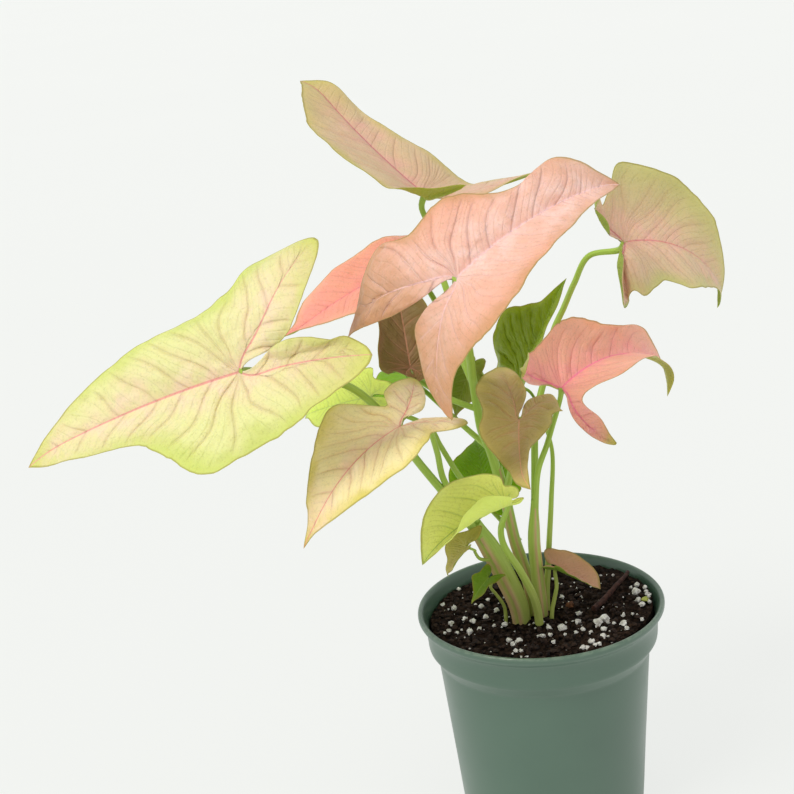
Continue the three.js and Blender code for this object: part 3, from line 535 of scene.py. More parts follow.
def midrib_frames(leaf):
    """Places and axes along the midrib, which bends, sweeps, twists and curls to the tip."""
    steps = 40
    curl_from = 0.7
    shares = np.arange(steps + 1) / steps
    late = (shares - curl_from) / (1 - curl_from)
    weights = np.where(late > 0, np.sin(np.clip(late, 0, 1) * np.pi) ** 2, 0)
    weights = weights / weights.sum()
    axes = np.eye(3)
    place = np.zeros(3)
    all_axes = [axes]
    places = [place]
    for i in range(1, steps + 1):
        place = place + axes[:, 0] * leaf["length"] / steps
        bend = math.radians(leaf["bend"]) / steps + math.radians(leaf["curl"]) * weights[i]
        axes = axes @ rotation("Y", bend)
        axes = axes @ rotation("Z", math.radians(leaf["sweep"]) / steps)
        axes = axes @ rotation("X", math.radians(leaf["twist"]) / steps)
        places.append(place)
        all_axes.append(axes)
    return np.array(places), np.array(all_axes)


def leaf_axes(leaf):
    """The leaf's own axes in the plant: X along the midrib, Y to its left, Z out of its top."""
    heading = math.radians(leaf["heading"])
    pitch = math.radians(leaf["pitch"])
    roll = math.radians(leaf["roll"])
    forward = np.array([
        math.cos(heading) * math.cos(pitch), math.sin(heading) * math.cos(pitch), math.sin(pitch),
    ])
    level = np.array([-math.sin(heading), math.cos(heading), 0])
    normal = np.cross(forward, level)
    left = math.cos(roll) * level + math.sin(roll) * normal
    return np.stack([forward, left, np.cross(forward, left)], axis=1)


def open_notch(leaf, x, y):
    """Stands the lobes apart close to the joint, so that the sinus opens as a small notch."""
    radius, angle = polar(x, y)
    near = np.exp(-(radius / (NOTCH_REACH * leaf["length"])) ** 2)
    angle = angle * (1 - NOTCH_TURN * near)
    return radius * np.cos(angle), radius * np.sin(angle)


def shape_side(leaf, side, x, y, z):
    """Bends one side's flat points, y measured out from the midrib, into the leaf's frame."""
    x, y = open_notch(leaf, x, y)
    for line in leaf["rolls"]:
        if line["side"] == side:
            x, y, z = roll_edge(x, y, z, line)
    x, y, z = drop_lobe(leaf, side, x, y, z)
    y, z = crease_and_cup(leaf, side, y, z)
    return x, SIGNS[side] * y, z


def shape_leaf(leaf, x, y, z, sides):
    """Flat points to places in the row frame, in millimetres. y is signed, left above 0."""
    x, y, z = both_sides(shape_side, leaf, x, y, sides, z)
    places, axes = midrib_frames(leaf)
    steps = len(places) - 1
    along = np.clip(x, 0, leaf["length"])
    at = along / leaf["length"] * steps
    first = np.minimum(at.astype(int), steps - 1)
    share = (at - first)[:, None]
    rest = np.stack([x - along, y, z], axis=-1)
    near = np.einsum("nij,nj->ni", axes[first], rest) + places[first]
    far = np.einsum("nij,nj->ni", axes[first + 1], rest) + places[first + 1]
    in_leaf = near * (1 - share) + far * share
    return in_leaf @ leaf_axes(leaf).T + np.array(leaf["joint"], float)


# ---------------------------------------------------------------- veins
FAN_VEINS = 2                        # veins that leave the joint between midrib and lobe rib
LATERAL_LEAN = math.radians(52)      # angle between the midrib and its laterals
LOBE_LEAN = math.radians(48)
LOBE_VEINS = 4.5                     # laterals on each side of a lobe's rib
VEIN_SWEEP = 0.24                    # how far the laterals curve forward, as a share
VEIN_EASE = 0.85                     # below 1, laterals crowd towards the joint
VEIN_WANDER = 1.7                    # millimetres off the regular pattern
DEEP_QUILT = 1.5                     # the quilt whose creases are cut at full depth


def vein_number(leaf, side, x, y):
    """A number that passes a whole value on each lateral vein of one side of the blade."""
    seed = leaf_seed(leaf) + 7 * side
    loose = VEIN_WANDER * smoothstep(1, 16, np.hypot(x, y))
    x = x + loose * ripples(x, y, 30, seed)
    y = y + loose * ripples(x, y, 34, seed + 1)
    along, across = lobe_directions(leaf, side)
    on_rib = x * along[0] + y * along[1]
    off_rib = x * across[0] + y * across[1]
    sweep = VEIN_SWEEP * y * y / leaf["half_width"]
    front = x - y / math.tan(LATERAL_LEAN) - sweep
    outer = on_rib - off_rib / math.tan(LOBE_LEAN)
    inner = on_rib + off_rib / math.tan(LOBE_LEAN)
    pitch = leaf["length"] / leaf["veins"]
    lobe_pitch = leaf["lobes"][side] / LOBE_VEINS
    eased = np.sign(front) * np.abs(front / leaf["length"]) ** VEIN_EASE * leaf["length"]
    fan = FAN_VEINS * front / np.where(front + outer < -1e-6, front + outer, -1e-6)
    number = np.where(
        front >= 0, eased / pitch,
        np.where(outer >= 0, -FAN_VEINS - outer / lobe_pitch, -np.abs(fan)),
    )
    return np.where((off_rib < 0) & (on_rib > 0), -FAN_VEINS - 0.45 - inner / lobe_pitch, number)


def vein_spacing(leaf, side, x, y):
    """Millimetres of blade to each whole step of the vein number."""
    step = 0.4
    here = vein_number(leaf, side, x, y)
    across_x = (vein_number(leaf, side, x + step, y) - here) / step
    across_y = (vein_number(leaf, side, x, y + step) - here) / step
    steepness = np.hypot(across_x, across_y)
    return np.clip(1 / np.maximum(steepness, 1e-3), 0.5, 16)


def rib_distance(leaf, side, x, y):
    """Distance to the nearest main rib, and that rib's half width there."""
    along, across = lobe_directions(leaf, side)
    on_rib = x * along[0] + y * along[1]
    off_rib = np.abs(x * across[0] + y * across[1])
    lobe = leaf["lobes"][side]
    scale = math.sqrt(leaf_size(leaf))
    mid_gap = np.where(x > 0, y, np.hypot(x, y))
    lobe_gap = np.where(on_rib > 0, off_rib, np.hypot(x, y))
    mid_wide = scale * (0.20 + 0.40 * np.clip(1 - x / leaf["length"], 0, 1))
    lobe_wide = scale * (0.12 + 0.40 * np.clip(1 - on_rib / lobe, 0, 1))
    nearer = lobe_gap < mid_gap
    return np.where(nearer, lobe_gap, mid_gap), np.where(nearer, lobe_wide, mid_wide)


def relief(leaf, side, x, y, rim):
    """How far the blade stands above its flat form: puffed between veins, sunk on them."""
    seed = leaf_seed(leaf) + 3 * side
    number = vein_number(leaf, side, x, y)
    gap, wide = rib_distance(leaf, side, x, y)
    spacing = vein_spacing(leaf, side, x, y)
    between = np.abs(np.sin(np.pi * number)) ** 0.6 * smoothstep(1.5, 8, spacing)
    inside = smoothstep(0, 0.34 * leaf["half_width"], rim)
    clear = smoothstep(0, 5, gap)
    uneven = 1 + 0.4 * ripples(x, y, 19, seed)
    puckers = 0.20 * ripples(x, y, 6.5, seed + 1)
    quilt = leaf["quilt"][side]
    puff = 1.15 * quilt * clear * (inside * between * uneven + smoothstep(0, 4, rim) * puckers)
    size = leaf_size(leaf)
    broad = 0.9 * size * ripples(x, y, 44 * size, seed + 2) * smoothstep(0, 14, gap)
    groove = 0.40 * math.sqrt(size) * np.exp(-(gap / (1.4 * wide + 0.45)) ** 2)
    return puff + broad - groove


def tip_share(leaf, side, x, y):
    """How far out towards the drip tip or the lobe's end a point lies, 1 at the end."""
    along, _ = lobe_directions(leaf, side)
    on_lobe = (x * along[0] + y * along[1]) / leaf["lobes"][side]
    return np.maximum(np.clip(x / leaf["length"], 0, 1), on_lobe)


# ---------------------------------------------------------------- mesh building
def new_object(name, points, faces, material, smooth_shading=True):
    """A mesh object from points in millimetres."""
    mesh = bpy.data.meshes.new(name)
    mesh.from_pydata((np.asarray(points) * MM).tolist(), [], faces)
    mesh.update()
    if smooth_shading:
        mesh.shade_smooth()
        mesh.set_sharp_from_angle(angle=SHARP_ANGLE)
    mesh.materials.append(material)
    thing = bpy.data.objects.new(name, mesh)
    bpy.context.scene.collection.objects.link(thing)
    return thing


def add_attribute(thing, name, values):
    """A number for each point, or a vector where the values are rows."""
    values = np.asarray(values, np.float32)
    kind, field = ("FLOAT", "value") if values.ndim == 1 else ("FLOAT_VECTOR", "vector")
    thing.data.attributes.new(name, kind, "POINT").data.foreach_set(field, values.ravel())


def vertex_normals(points, faces):
    """Area-weighted normals of quads and triangles given as rows of four (last may repeat)."""
    corners = points[faces]
    normal = np.cross(corners[:, 2] - corners[:, 0], corners[:, 3] - corners[:, 1])
    total = np.zeros_like(points)
    for k in range(4):
        np.add.at(total, faces[:, k], normal)
    length = np.linalg.norm(total, axis=1, keepdims=True)
    return total / np.maximum(length, 1e-12)


def finish_piece(thing, node, slot):
    """Rides the piece on the plant, in place of its node where it has one."""
    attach(thing, "root")
    if node:
        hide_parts(node)
    return thing


# ---------------------------------------------------------------- leaf meshes
def flat_leaf(leaf):
    """The blade's flat points in rings about the joint, and how many points a ring has.

    Each has x, y, side, share of the way out to the margin, and place along the margin from the
    tip, 0, to the sinus, 1.
    """
    steps = int(np.clip(leaf["length"] * 1.35, 40, 130))
    rings = int(np.clip(leaf["length"] * 0.5, 16, 46))
    left = flat_outline(leaf, 0, steps)[::-1]
    right = flat_outline(leaf, 1, steps)[1:] * [1, -1]
    border = np.vstack([left, right])
    side = np.concatenate([np.zeros(steps + 1), np.ones(steps)])
    place = np.concatenate([np.linspace(1, 0, steps + 1), np.linspace(0, 1, steps + 1)[1:]])
    shares = (np.arange(rings) + 1) / rings
    x, y = (np.concatenate([[0], *(column * s for s in shares)]) for column in border.T)
    sides = np.concatenate([[0], np.tile(side, rings)]).astype(int)
    share = np.concatenate([[0], np.repeat(shares, len(border))])
    places = np.concatenate([[0], np.tile(place, rings)])
    return x, y, sides, share, places, len(border)


def margin_distance(leaf, x, y, share):
    """Roughly how far in from the margin a point lies, in millimetres."""
    radius = np.hypot(x, y) / np.maximum(share, 1e-6)
    slanted = np.minimum(radius, 1.3 * leaf["half_width"])
    return slanted * (1 - share)


def leaf_faces(count, rings):
    """A fan at the joint and quads between the rings. A triangle repeats its last point."""
    faces = [(0, i + 2, i + 1, i + 1) for i in range(count - 1)]
    for ring in range(rings - 1):
        first = 1 + ring * count
        for i in range(count - 1):
            a = first + i
            faces.append((a, a + 1, a + 1 + count, a + count))
    return np.array(faces)


def border_loop(count, rings):
    """The points round the blade: out along one side of the sinus, round the margin and back."""
    last = 1 + (rings - 1) * count
    start = [1 + ring * count for ring in range(rings - 1)]
    end = [1 + ring * count + count - 1 for ring in reversed(range(rings - 1))]
    return [0, *start, *range(last, last + count), *end]


def closed_faces(faces, border, count):
    """The upper faces, the lower ones turned over, and the strip round the border."""
    def corners(row):
        return tuple(row[:3]) if row[2] == row[3] else tuple(row)

    top = [corners(row) for row in faces.tolist()]
    bottom = [tuple(v + count for v in reversed(face)) for face in top]
    strip = []
    for i, a in enumerate(border):
        b = border[(i + 1) % len(border)]
        strip.append((a, b, b + count, a + count))
    return top + bottom + strip


def margin_waves(leaf, sides, places):
    """Two overlaid waves along the margin, out of step on the two sides."""
    phase = leaf["heading"] * 0.7 + 2.1 * sides
    broad, narrow = MARGIN_WAVES
    waves = np.sin(2 * np.pi * broad * places + phase)
    return waves + 0.6 * np.sin(2 * np.pi * narrow * places - phase)


def build_leaf(name, leaf):
    """A blade with two faces: quilted, waved, thin at its margin and keeled under its ribs."""
    x, y, sides, share, places, count = flat_leaf(leaf)
    rings = (len(x) - 1) // count
    rim = margin_distance(leaf, x, y, share)
    gap, wide = both_sides(rib_distance, leaf, x, y, sides)
    waves = leaf["wave"] * margin_waves(leaf, sides, places)
    rise = both_sides(relief, leaf, x, y, sides, rim)
    rise = rise + waves * share ** 4 * (1 - np.exp(-6 * places))
    middle = shape_leaf(leaf, x, y, rise, sides)
    faces = leaf_faces(count, rings)
    normals = vertex_normals(middle, faces)
    thin = BLADE["thickness"] / 2 * (0.35 + 0.65 * smoothstep(0, 2.5, rim))
    keel = 0.8 * math.sqrt(leaf_size(leaf)) * np.exp(-(gap / (1.4 * wide + 0.4)) ** 2)
    keel = keel * smoothstep(0, 3, rim)
    upper = middle + normals * thin[:, None]
    lower = middle - normals * (thin + keel)[:, None]
    thing = new_object(
        f"{name}_blade", np.vstack([upper, lower]),
        closed_faces(faces, border_loop(count, rings), len(middle)), leaf_material(name),
    )
    quilted = np.where(sides == 0, *leaf["quilt"]) / DEEP_QUILT
    for label, values in {
        "flat": np.stack([x, y, np.zeros(len(x))], axis=-1),
        "vein": both_sides(vein_number, leaf, x, y, sides),
        "spacing": both_sides(vein_spacing, leaf, x, y, sides),
        "far": both_sides(tip_share, leaf, x, y, sides),
        "rib": gap, "rib_wide": wide, "rim": rim, "quilted": np.clip(quilted, 0.25, 1),
    }.items():
        add_attribute(thing, label, np.concatenate([values, values]))
    add_attribute(thing, "under", np.repeat([0, 1], len(x)))
    return finish_piece(thing, name, leaf["slot"])


# ---------------------------------------------------------------- materials
WASH_AMOUNT = 0.7
SPECK_COLOUR = (110, 104, 30)
RIM_COLOUR = (132, 122, 44)
PALE_RIB_COLOUR = (236, 244, 190)    # of the ribs on the lower face


def linear(colour):
    """An 8-bit sRGB colour as linear RGBA."""
    def channel(value):
        value = value / 255
        if value <= 0.04045:
            return value / 12.92
        return ((value + 0.055) / 1.055) ** 2.4

    return (*[channel(v) for v in colour], 1)


class Shader:
    """A small helper for wiring a node material."""

    def __init__(self, name, roughness, specular):
        self.material = bpy.data.materials.new(name)
        self.material.use_nodes = True
        self.tree = self.material.node_tree
        self.surface = self.tree.nodes["Principled BSDF"]
        self.finish("Roughness", roughness)
        self.finish("Specular IOR Level", specular)

    def wire(self, value, socket):
        if isinstance(value, bpy.types.NodeSocket):
            self.tree.links.new(value, socket)
        else:
            socket.default_value = value

    def finish(self, name, value):
        """Sets or wires an input of the surface."""
        self.wire(value, self.surface.inputs[name])

    def node(self, kind, output, inputs=None, **settings):
        """A new node's output, once its settings and inputs are in place."""
        made = self.tree.nodes.new(f"ShaderNode{kind}")
        for key, value in settings.items():
            setattr(made, key, value)
        for key, value in (inputs or {}).items():
            self.wire(value, made.inputs[key])
        return made.outputs[output]

    def attribute(self, name, output="Fac"):
        return self.node("Attribute", output, attribute_name=name)

    def object_place(self):
        return self.node("TexCoord", "Object")

    def math(self, operation, a, b=0.0):
        return self.node("Math", 0, {0: a, 1: b}, operation=operation)

    def times(self, a, b):
        return self.math("MULTIPLY", a, b)

    def plus(self, a, b):
        return self.math("ADD", a, b)

    def ramp(self, value, low, high, to_low=0.0, to_high=1.0):
        """A smooth step from to_low to to_high as value goes from low to high."""
        inputs = {
            "Value": value, "From Min": low, "From Max": high, "To Min": to_low, "To Max": to_high,
        }
        return self.node("MapRange", "Result", inputs, interpolation_type="SMOOTHSTEP")

    def mix(self, factor, a, b):
        return self.node("Mix", 2, {0: factor, 6: a, 7: b}, data_type="RGBA")

    def noise(self, vector, scale, detail=3.0, roughness=0.55):
        inputs = {"Vector": vector, "Scale": scale, "Detail": detail, "Roughness": roughness}
        return self.node("TexNoise", "Fac", inputs)

    def bump(self, height, strength, distance):
        inputs = {"Strength": strength, "Distance": distance, "Height": height}
        self.finish("Normal", self.node("Bump", "Normal", inputs))


def vein_line(shader, multiple, low, high):
    """1 on each lateral vein, or on finer ones between them, falling to 0 beside it."""
    number = shader.times(shader.attribute("vein"), multiple)
    wrapped = shader.node("Math", 0, {0: number, 1: 0.5, 2: -0.5}, operation="WRAP")
    away = shader.times(shader.math("ABSOLUTE", wrapped), shader.attribute("spacing"))
    return shader.ramp(shader.math("DIVIDE", away, multiple), low, high, 1, 0)


def washed(shader, wash, base, flat, wander):
    """Turns the base towards one more colour across the flat blade, along the wash's heading."""
    heading = math.radians(wash["heading"])
    direction = (math.cos(heading), math.sin(heading), 0)
    along = shader.node("VectorMath", "Value", {0: flat, 1: direction}, operation="DOT_PRODUCT")
    amount = shader.ramp(shader.plus(along, wander), wash["start"], wash["end"], 0, WASH_AMOUNT)
    return shader.mix(amount, base, linear(wash["colour"]))


def leaf_tint(shader, palette, colours, flat, rim, rib):
    """The blade's broad colours: core, margin, the flush along the ribs and the drip tip."""
    broad = shader.noise(flat, 0.045, 3)
    blotch = shader.noise(flat, 0.13, 4, 0.6)
    wander = shader.times(shader.math("SUBTRACT", broad, 0.5), 26)
    at_edge = shader.ramp(shader.plus(rim, wander), palette["edge_reach"], -2)
    base = shader.mix(at_edge, colours["core"], colours["edge"])
    near_rib = shader.plus(rib, shader.times(wander, 1.1))
    flushed = shader.ramp(near_rib, palette["flush_reach"], -3, 0, palette["flush_amount"])
    mottled = shader.ramp(blotch, 0.40, 0.62, 0.5, 1)
    base = shader.mix(shader.times(flushed, mottled), base, colours["flush"])
    if palette["wash"]:
        base = washed(shader, palette["wash"], base, flat, wander)
    return shader.mix(shader.ramp(shader.attribute("far"), 0.80, 1.0, 0, 0.9), base, colours["tip"])


def leaf_material(name):
    """The blade's colours follow its veins, its ribs and its margin, with a fine mottle."""
    palette = {**USUAL_COLOURS, **PALETTES[name]}
    colours = {key: linear(value) for key, value in palette.items() if isinstance(value, tuple)}
    shader = Shader(f"{name}_skin", GLOSSY_LEAVES.get(name, SATIN), 0.2)
    flat = shader.attribute("flat", "Vector")
    rim = shader.attribute("rim")
    rib = shader.attribute("rib")
    base = leaf_tint(shader, palette, colours, flat, rim, rib)

    main = shader.ramp(shader.math("DIVIDE", rib, shader.attribute("rib_wide")), 0.5, 1.5, 0.85, 0)
    crease = shader.times(vein_line(shader, 1, 0.0, 1.0), shader.ramp(rim, 1.0, 8.0))
    fine = shader.times(vein_line(shader, 3, 0.0, 0.5), shader.ramp(rim, 0.5, 5.0))
    lateral = shader.times(vein_line(shader, 1, 0.12, 0.5), shader.ramp(rim, 1.0, 9.0))
    lateral = shader.times(lateral, shader.ramp(rib, 26, 2, 0.10, palette["lateral"]))
    halo = shader.times(vein_line(shader, 1, 0.3, 3.4), shader.ramp(rim, 2.0, 12.0, 0, 0.10))
    ribbed = shader.math("MAXIMUM", lateral, main)
    base = shader.mix(shader.math("MAXIMUM", ribbed, halo), base, colours["vein"])

    dark = shader.mix(0.42, base, linear(SPECK_COLOUR))
    speck = shader.noise(flat, 1.0, 3, 0.7)
    patch = shader.ramp(shader.noise(flat, 0.32, 3, 0.6), 0.35, 0.6)
    specked = shader.times(shader.ramp(speck, 0.46, 0.74, 0, 0.6), patch)
    base = shader.mix(specked, base, dark)
    base = shader.mix(shader.times(fine, 0.10), base, dark)
    rim_line = shader.mix(0.7, base, linear(RIM_COLOUR))
    base = shader.mix(shader.ramp(rim, 0.85, 0.2, 0, 0.85), base, rim_line)

    pale_under = shader.mix(0.30, colours["under"], linear(PALE_RIB_COLOUR))
    under = shader.mix(ribbed, colours["under"], pale_under)
    under = shader.mix(shader.times(specked, 0.6), under, shader.mix(0.4, under, dark))
    lower_face = shader.ramp(shader.attribute("under"), 0.45, 0.55)
    shader.finish("Base Color", shader.mix(lower_face, base, under))

    height = shader.times(crease, shader.times(shader.attribute("quilted"), -1.0))
    height = shader.math("SUBTRACT", height, shader.times(fine, 0.25))
    height = shader.plus(height, shader.times(speck, 0.30))
    height = shader.plus(height, shader.times(shader.noise(flat, 0.33, 3, 0.6), 1.1))
    shader.bump(height, 0.85, 0.0006)
    shader.finish("Subsurface Weight", 0.3)
    shader.finish("Subsurface Radius", (1.0, 0.85, 0.5))
    shader.finish("Subsurface Scale", 0.0014)
    return shader.material


def stem_material():
    """Satin green skin, yellower low down, with tan sheath margins and fine lengthwise ribs."""
    shader = Shader("stem_skin", 0.40, 0.25)
    stretched = shader.attribute("skin", "Vector")
    streak = shader.noise(stretched, 1.0, 3)
    fleck = shader.noise(stretched, 2.6, 4, 0.7)
    green = shader.mix(streak, linear((136, 168, 50)), linear((186, 212, 100)))
    low = shader.mix(streak, linear((148, 166, 60)), linear((204, 212, 122)))
    skin = shader.mix(shader.ramp(shader.attribute("height"), 160, 112), green, low)
    rosy = shader.mix(streak, linear((172, 126, 80)), linear((226, 186, 150)))
    tinted = shader.times(shader.attribute("tan"), shader.ramp(streak, 0.25, 0.5, 0.7, 1))
    skin = shader.mix(tinted, skin, rosy)
    skin = shader.mix(shader.ramp(fleck, 0.60, 0.74, 0, 0.4), skin, linear((118, 110, 44)))
    shader.finish("Base Color", skin)
    shader.bump(streak, 0.35, 0.0004)
    return shader.material


def pot_material():
    """Moulded green plastic: satin, faintly clouded; its rim paler, partly scuffs, partly a painted
    highlight.
    """
    shader = Shader("pot_plastic", 0.34, 0.75)
    place = shader.object_place()
    cloud = shader.noise(place, 28, 3)
    base = shader.mix(cloud, linear((68, 96, 79)), linear((80, 108, 90)))
    # Paler along the rim: partly scuffs, partly a painted highlight on the rim's edge.
    scuff_and_highlight = shader.ramp(shader.noise(place, 300, 4, 0.7), 0.40, 0.62, 0.25, 0.8)
    base = shader.mix(shader.times(shader.attribute("rim"), scuff_and_highlight), base, linear((112, 132, 112)))
    dust = shader.ramp(shader.noise(place, 85, 5, 0.7), 0.66, 0.80, 0, 0.30)
    shader.finish("Base Color", shader.mix(dust, base, linear((124, 134, 112))))
    shader.finish("Roughness", shader.ramp(cloud, 0.3, 0.7, 0.30, 0.40))
    shader.bump(shader.noise(place, 900, 2), 0.08, 0.0002)
    return shader.material


def soil_material():
    """Nearly black mix with brown crumbs and clods."""
    shader = Shader("potting_mix", 0.95, 0.08)
    place = shader.object_place()
    grain = shader.noise(place, 420, 5, 0.7)
    clod = shader.noise(place, 120, 4, 0.65)
    base = shader.mix(shader.ramp(grain, 0.38, 0.7), linear((5, 4, 4)), linear((62, 46, 36)))
    base = shader.mix(shader.ramp(clod, 0.50, 0.66, 0, 0.6), base, linear((36, 24, 18)))
    shader.finish("Base Color", base)
    shader.bump(grain, 0.7, 0.0012)
    return shader.material


def plain_material(name, low, high, scale, roughness, bump):
    """Two close colours mixed by noise, for grains, bark and the twig."""
    shader = Shader(name, roughness, 0.3)
    grain = shader.noise(shader.object_place(), scale, 4, 0.65)
    shader.finish("Base Color", shader.mix(shader.ramp(grain, 0.3, 0.7), linear(low), linear(high)))
    shader.bump(grain, bump, 0.0006)
    return shader.material


# ---------------------------------------------------------------- stems
# Routes and radii are the part's own. A sheath has a groove with a tan margin on each side of
# it, at the two `edges`, given as angles from the front in radians.
SHEATHS = {
    "shoot_left": dict(
        radii=(4.4, 4.3), flatness=0.68, belly=0.08, edges=(0.4, 1.25), taper=0.2,
        points=[(-9, -4.5, 92), (-10.5, -5.5, 110), (-15.5, -8, 126), (-21.5, -11, 142),
                (-28, -15, 156)],
    ),
    "shoot_centre": dict(
        radii=(2.9, 2.3), flatness=1, belly=0.06, edges=(0.1, 1.2), taper=0.1,
        points=[(-4, 2.6, 92), (-4, 2, 113), (-7, 1.5, 129), (-9.5, 0, 140), (-12, -3, 159),
                (-15, -7, 179)],
    ),
    "shoot_right": dict(
        radii=(3.0, 2.4), flatness=1, belly=0.06, edges=(-1.35, 0.15), taper=0.34,
        points=[(0, -2.4, 92), (-0.3, -3.4, 110), (-1, -4, 128), (-1.2, -5, 141), (0.5, -5, 161)],
    ),
}

PETIOLES = {
    "shoot_left": [
        dict(leaf="leaf_left_large", radii=(2.0, 1.3), points=[
            (-26, -15, 150), (-41, -24, 177), (-51, -33, 196), (-63, -46, 222), (-76, -53, 238),
            (-94, -60, 246)]),
        dict(leaf="leaf_left_low", radii=(1.6, 1.0), points=[
            (-26, -15, 150), (-35, -20, 170), (-40, -26, 183), (-42, -36, 200), (-45, -48, 214)]),
        dict(leaf="leaf_behind_lime", radii=(1.5, 0.9), points=[
            (-26, -14, 151), (-29, -15, 172), (-34, -18, 183), (-40, -21, 197), (-44, -22, 206)]),
        dict(leaf="leaf_base_olive", radii=(0.9, 0.5), points=[
            (-20, -10.5, 136), (-26.5, -15, 139), (-29, -20, 145)]),
    ],
    "shoot_centre": [
        dict(leaf="leaf_centre_front", radii=(2.2, 1.3), points=[
            (-14, -5, 169), (-18, -10, 189), (-21, -12, 199), (-22, -13, 209), (-23, -15, 221),
            (-24, -25, 238), (-26, -44, 257)]),
        dict(leaf="leaf_top", radii=(1.7, 1.2), points=[
            (-23, -15, 221), (-25, -8, 235), (-28, 4, 250), (-33, 12, 271), (-35, 17, 286)]),
        dict(leaf="leaf_centre_low", radii=(1.6, 1.1), points=[
            (-12, -4, 165), (-10, -18, 181), (-7, -30, 197)]),
        dict(leaf="leaf_behind_coral", radii=(1.6, 1.1), points=[
            (-23, -15, 221), (-30, 5, 239), (-36, 28, 251)]),
        dict(leaf="leaf_shaded", radii=(1.4, 1.0), points=[
            (-22, -13, 209), (-34, -12, 215)]),
        dict(leaf="leaf_inner_green", radii=(1.4, 1.0), points=[
            (-18, -10, 189), (-30, 8, 197), (-42, 18, 208)]),
        dict(leaf="leaf_inner_olive", radii=(1.3, 0.9), points=[
            (-21, -13, 207), (-17, -3, 213)]),
        dict(leaf="leaf_young_green", radii=(1.3, 0.9), points=[
            (-7, 3, 138), (-13, 8, 145)]),
    ],
    "shoot_right": [
        dict(leaf="leaf_right_high", radii=(1.7, 1.2), approach=(0, 0.4), points=[
            (0, -5, 151), (2, -1, 174), (4, 8, 187), (8, 18, 200), (13, 24, 212), (17, 25, 229),
            (22, 19, 242), (26, 7, 256), (32, -3, 270)]),
        dict(leaf="leaf_right_coral", radii=(1.5, 1.1), points=[
            (0, -5, 151), (3, -6, 175), (8, -2, 185), (11, 2, 191)]),
    ],
    "petiole_front": [
        dict(leaf="leaf_front_lime", radii=(2.1, 1.1), approach=(-0.15, 0), points=[
            (-1.9, -10, 92), (-2.5, -12, 110), (-5, -15.5, 121), (-9.5, -20, 133.5),
            (-16.3, -28, 150), (-17.5, -36.5, 162)]),
    ],
    "petiole_back": [
        dict(leaf="leaf_back_dark", radii=(1.7, 0.6), points=[
            (3, 3.2, 92), (3.8, 5, 111), (5.4, 6.5, 121.5), (6.8, 9, 131.5), (10, 16, 151),
            (13, 26, 172), (11, 34, 183)]),
    ],
    "petiole_base_green": [
        dict(leaf="leaf_base_green", radii=(0.9, 0.6), points=[
            (-16.2, -2.5, 92), (-16.6, -3.5, 103), (-16.9, -4.2, 109), (-20.8, -10, 119),
            (-23, -16, 125)]),
    ],
    "petiole_base_pink": [
        dict(leaf="leaf_base_pink", radii=(1.1, 0.8), points=[
            (4, -6.4, 92), (4.6, -5.6, 104.5), (6.7, -4.8, 112.5), (7.8, -4.6, 117.5)]),
    ],
}

STEM_SIDES = 32
RING_STEP = 1.6
FRONT = np.array([0.35, -0.94, 0])   # the side of the sheaths that faces forward


def petiole_points(petiole):
    """The petiole's route, ending square to the blade just under its joint."""
    leaf = LEAVES[petiole["leaf"]]
    axes = leaf_axes(leaf)
    joint = np.array(leaf["joint"], float)
    under = 0.25
    reach = min(5, leaf["length"] / 6)
    ahead, left = petiole.get("approach", (-0.3, 0))
    end = joint + axes @ np.array([0, 0, -under])
    before = joint + axes @ np.array([ahead * reach, left * reach, -under - reach - 0.6])
    return [*petiole["points"], tuple(before), tuple(end)]


def tube(points, radii, flatness=1.0, edges=None, swell=0.0, belly=0.0, taper=0.0):
    """A stem along a smooth curve: its points, faces, skin coordinates and tan margins.

    A sheath has an open groove between two edges, given as angles from the front.
    """
    fine = centripetal_curve(points, 24)
    length = np.linalg.norm(np.diff(fine, axis=0), axis=1).sum()
    rings = max(6, int(length / RING_STEP))
    line = evenly_spaced(fine, rings)
    tangent = np.gradient(line, axis=0)
    tangent /= np.linalg.norm(tangent, axis=1, keepdims=True)
    front = FRONT - (tangent @ FRONT)[:, None] * tangent
    front /= np.linalg.norm(front, axis=1, keepdims=True)
    across = np.cross(front, tangent)
    share = np.linspace(0, 1, rings + 1)
    radius = radii[0] + (radii[1] - radii[0]) * share
    radius = radius * (1 + swell * smoothstep(0.90, 1.0, share) + belly * np.sin(np.pi * share) ** 2)
    radius = radius * (1 - taper * smoothstep(0.75, 1.0, share))
    angle = np.linspace(-np.pi, np.pi, STEM_SIDES, endpoint=False)
    form = 1 + 0.02 * np.cos(9 * angle)
    margins = np.zeros(STEM_SIDES)
    if edges:
        middle = (edges[0] + edges[1]) / 2
        half = (edges[1] - edges[0]) / 2
        off = np.abs(np.angle(np.exp(1j * (angle - middle))))
        margins = np.exp(-((off - half) / 0.24) ** 2)
        groove = np.exp(-(off / (0.62 * half)) ** 2)
        form = form + 0.14 * margins - 0.20 * groove
    else:
        form = form - 0.10 * np.exp(-(angle / 0.30) ** 2)
    out = radius[:, None, None] * form[None, :, None]
    ring = flatness * front[:, None, :] * np.cos(angle)[None, :, None]
    ring = ring + across[:, None, :] * np.sin(angle)[None, :, None]
    points = (line[:, None, :] + out * ring).reshape(-1, 3)
    faces = []
    for i in range(rings):
        for j in range(STEM_SIDES):
            a = i * STEM_SIDES + j
            b = i * STEM_SIDES + (j + 1) % STEM_SIDES
            faces.append((a, a + STEM_SIDES, b + STEM_SIDES, b))
    last = rings * STEM_SIDES
    faces.append(tuple(range(STEM_SIDES)))
    faces.append(tuple(reversed(range(last, last + STEM_SIDES))))
    reached = share * length
    skin = np.stack(np.broadcast_arrays(
        (np.cos(angle) * 2.2)[None, :], (np.sin(angle) * 2.2)[None, :], 0.04 * reached[:, None],
    ), axis=-1).reshape(-1, 3)
    tan = np.broadcast_to(0.95 * margins[None, :], (rings + 1, STEM_SIDES)).reshape(-1)
    return points, faces, skin, tan


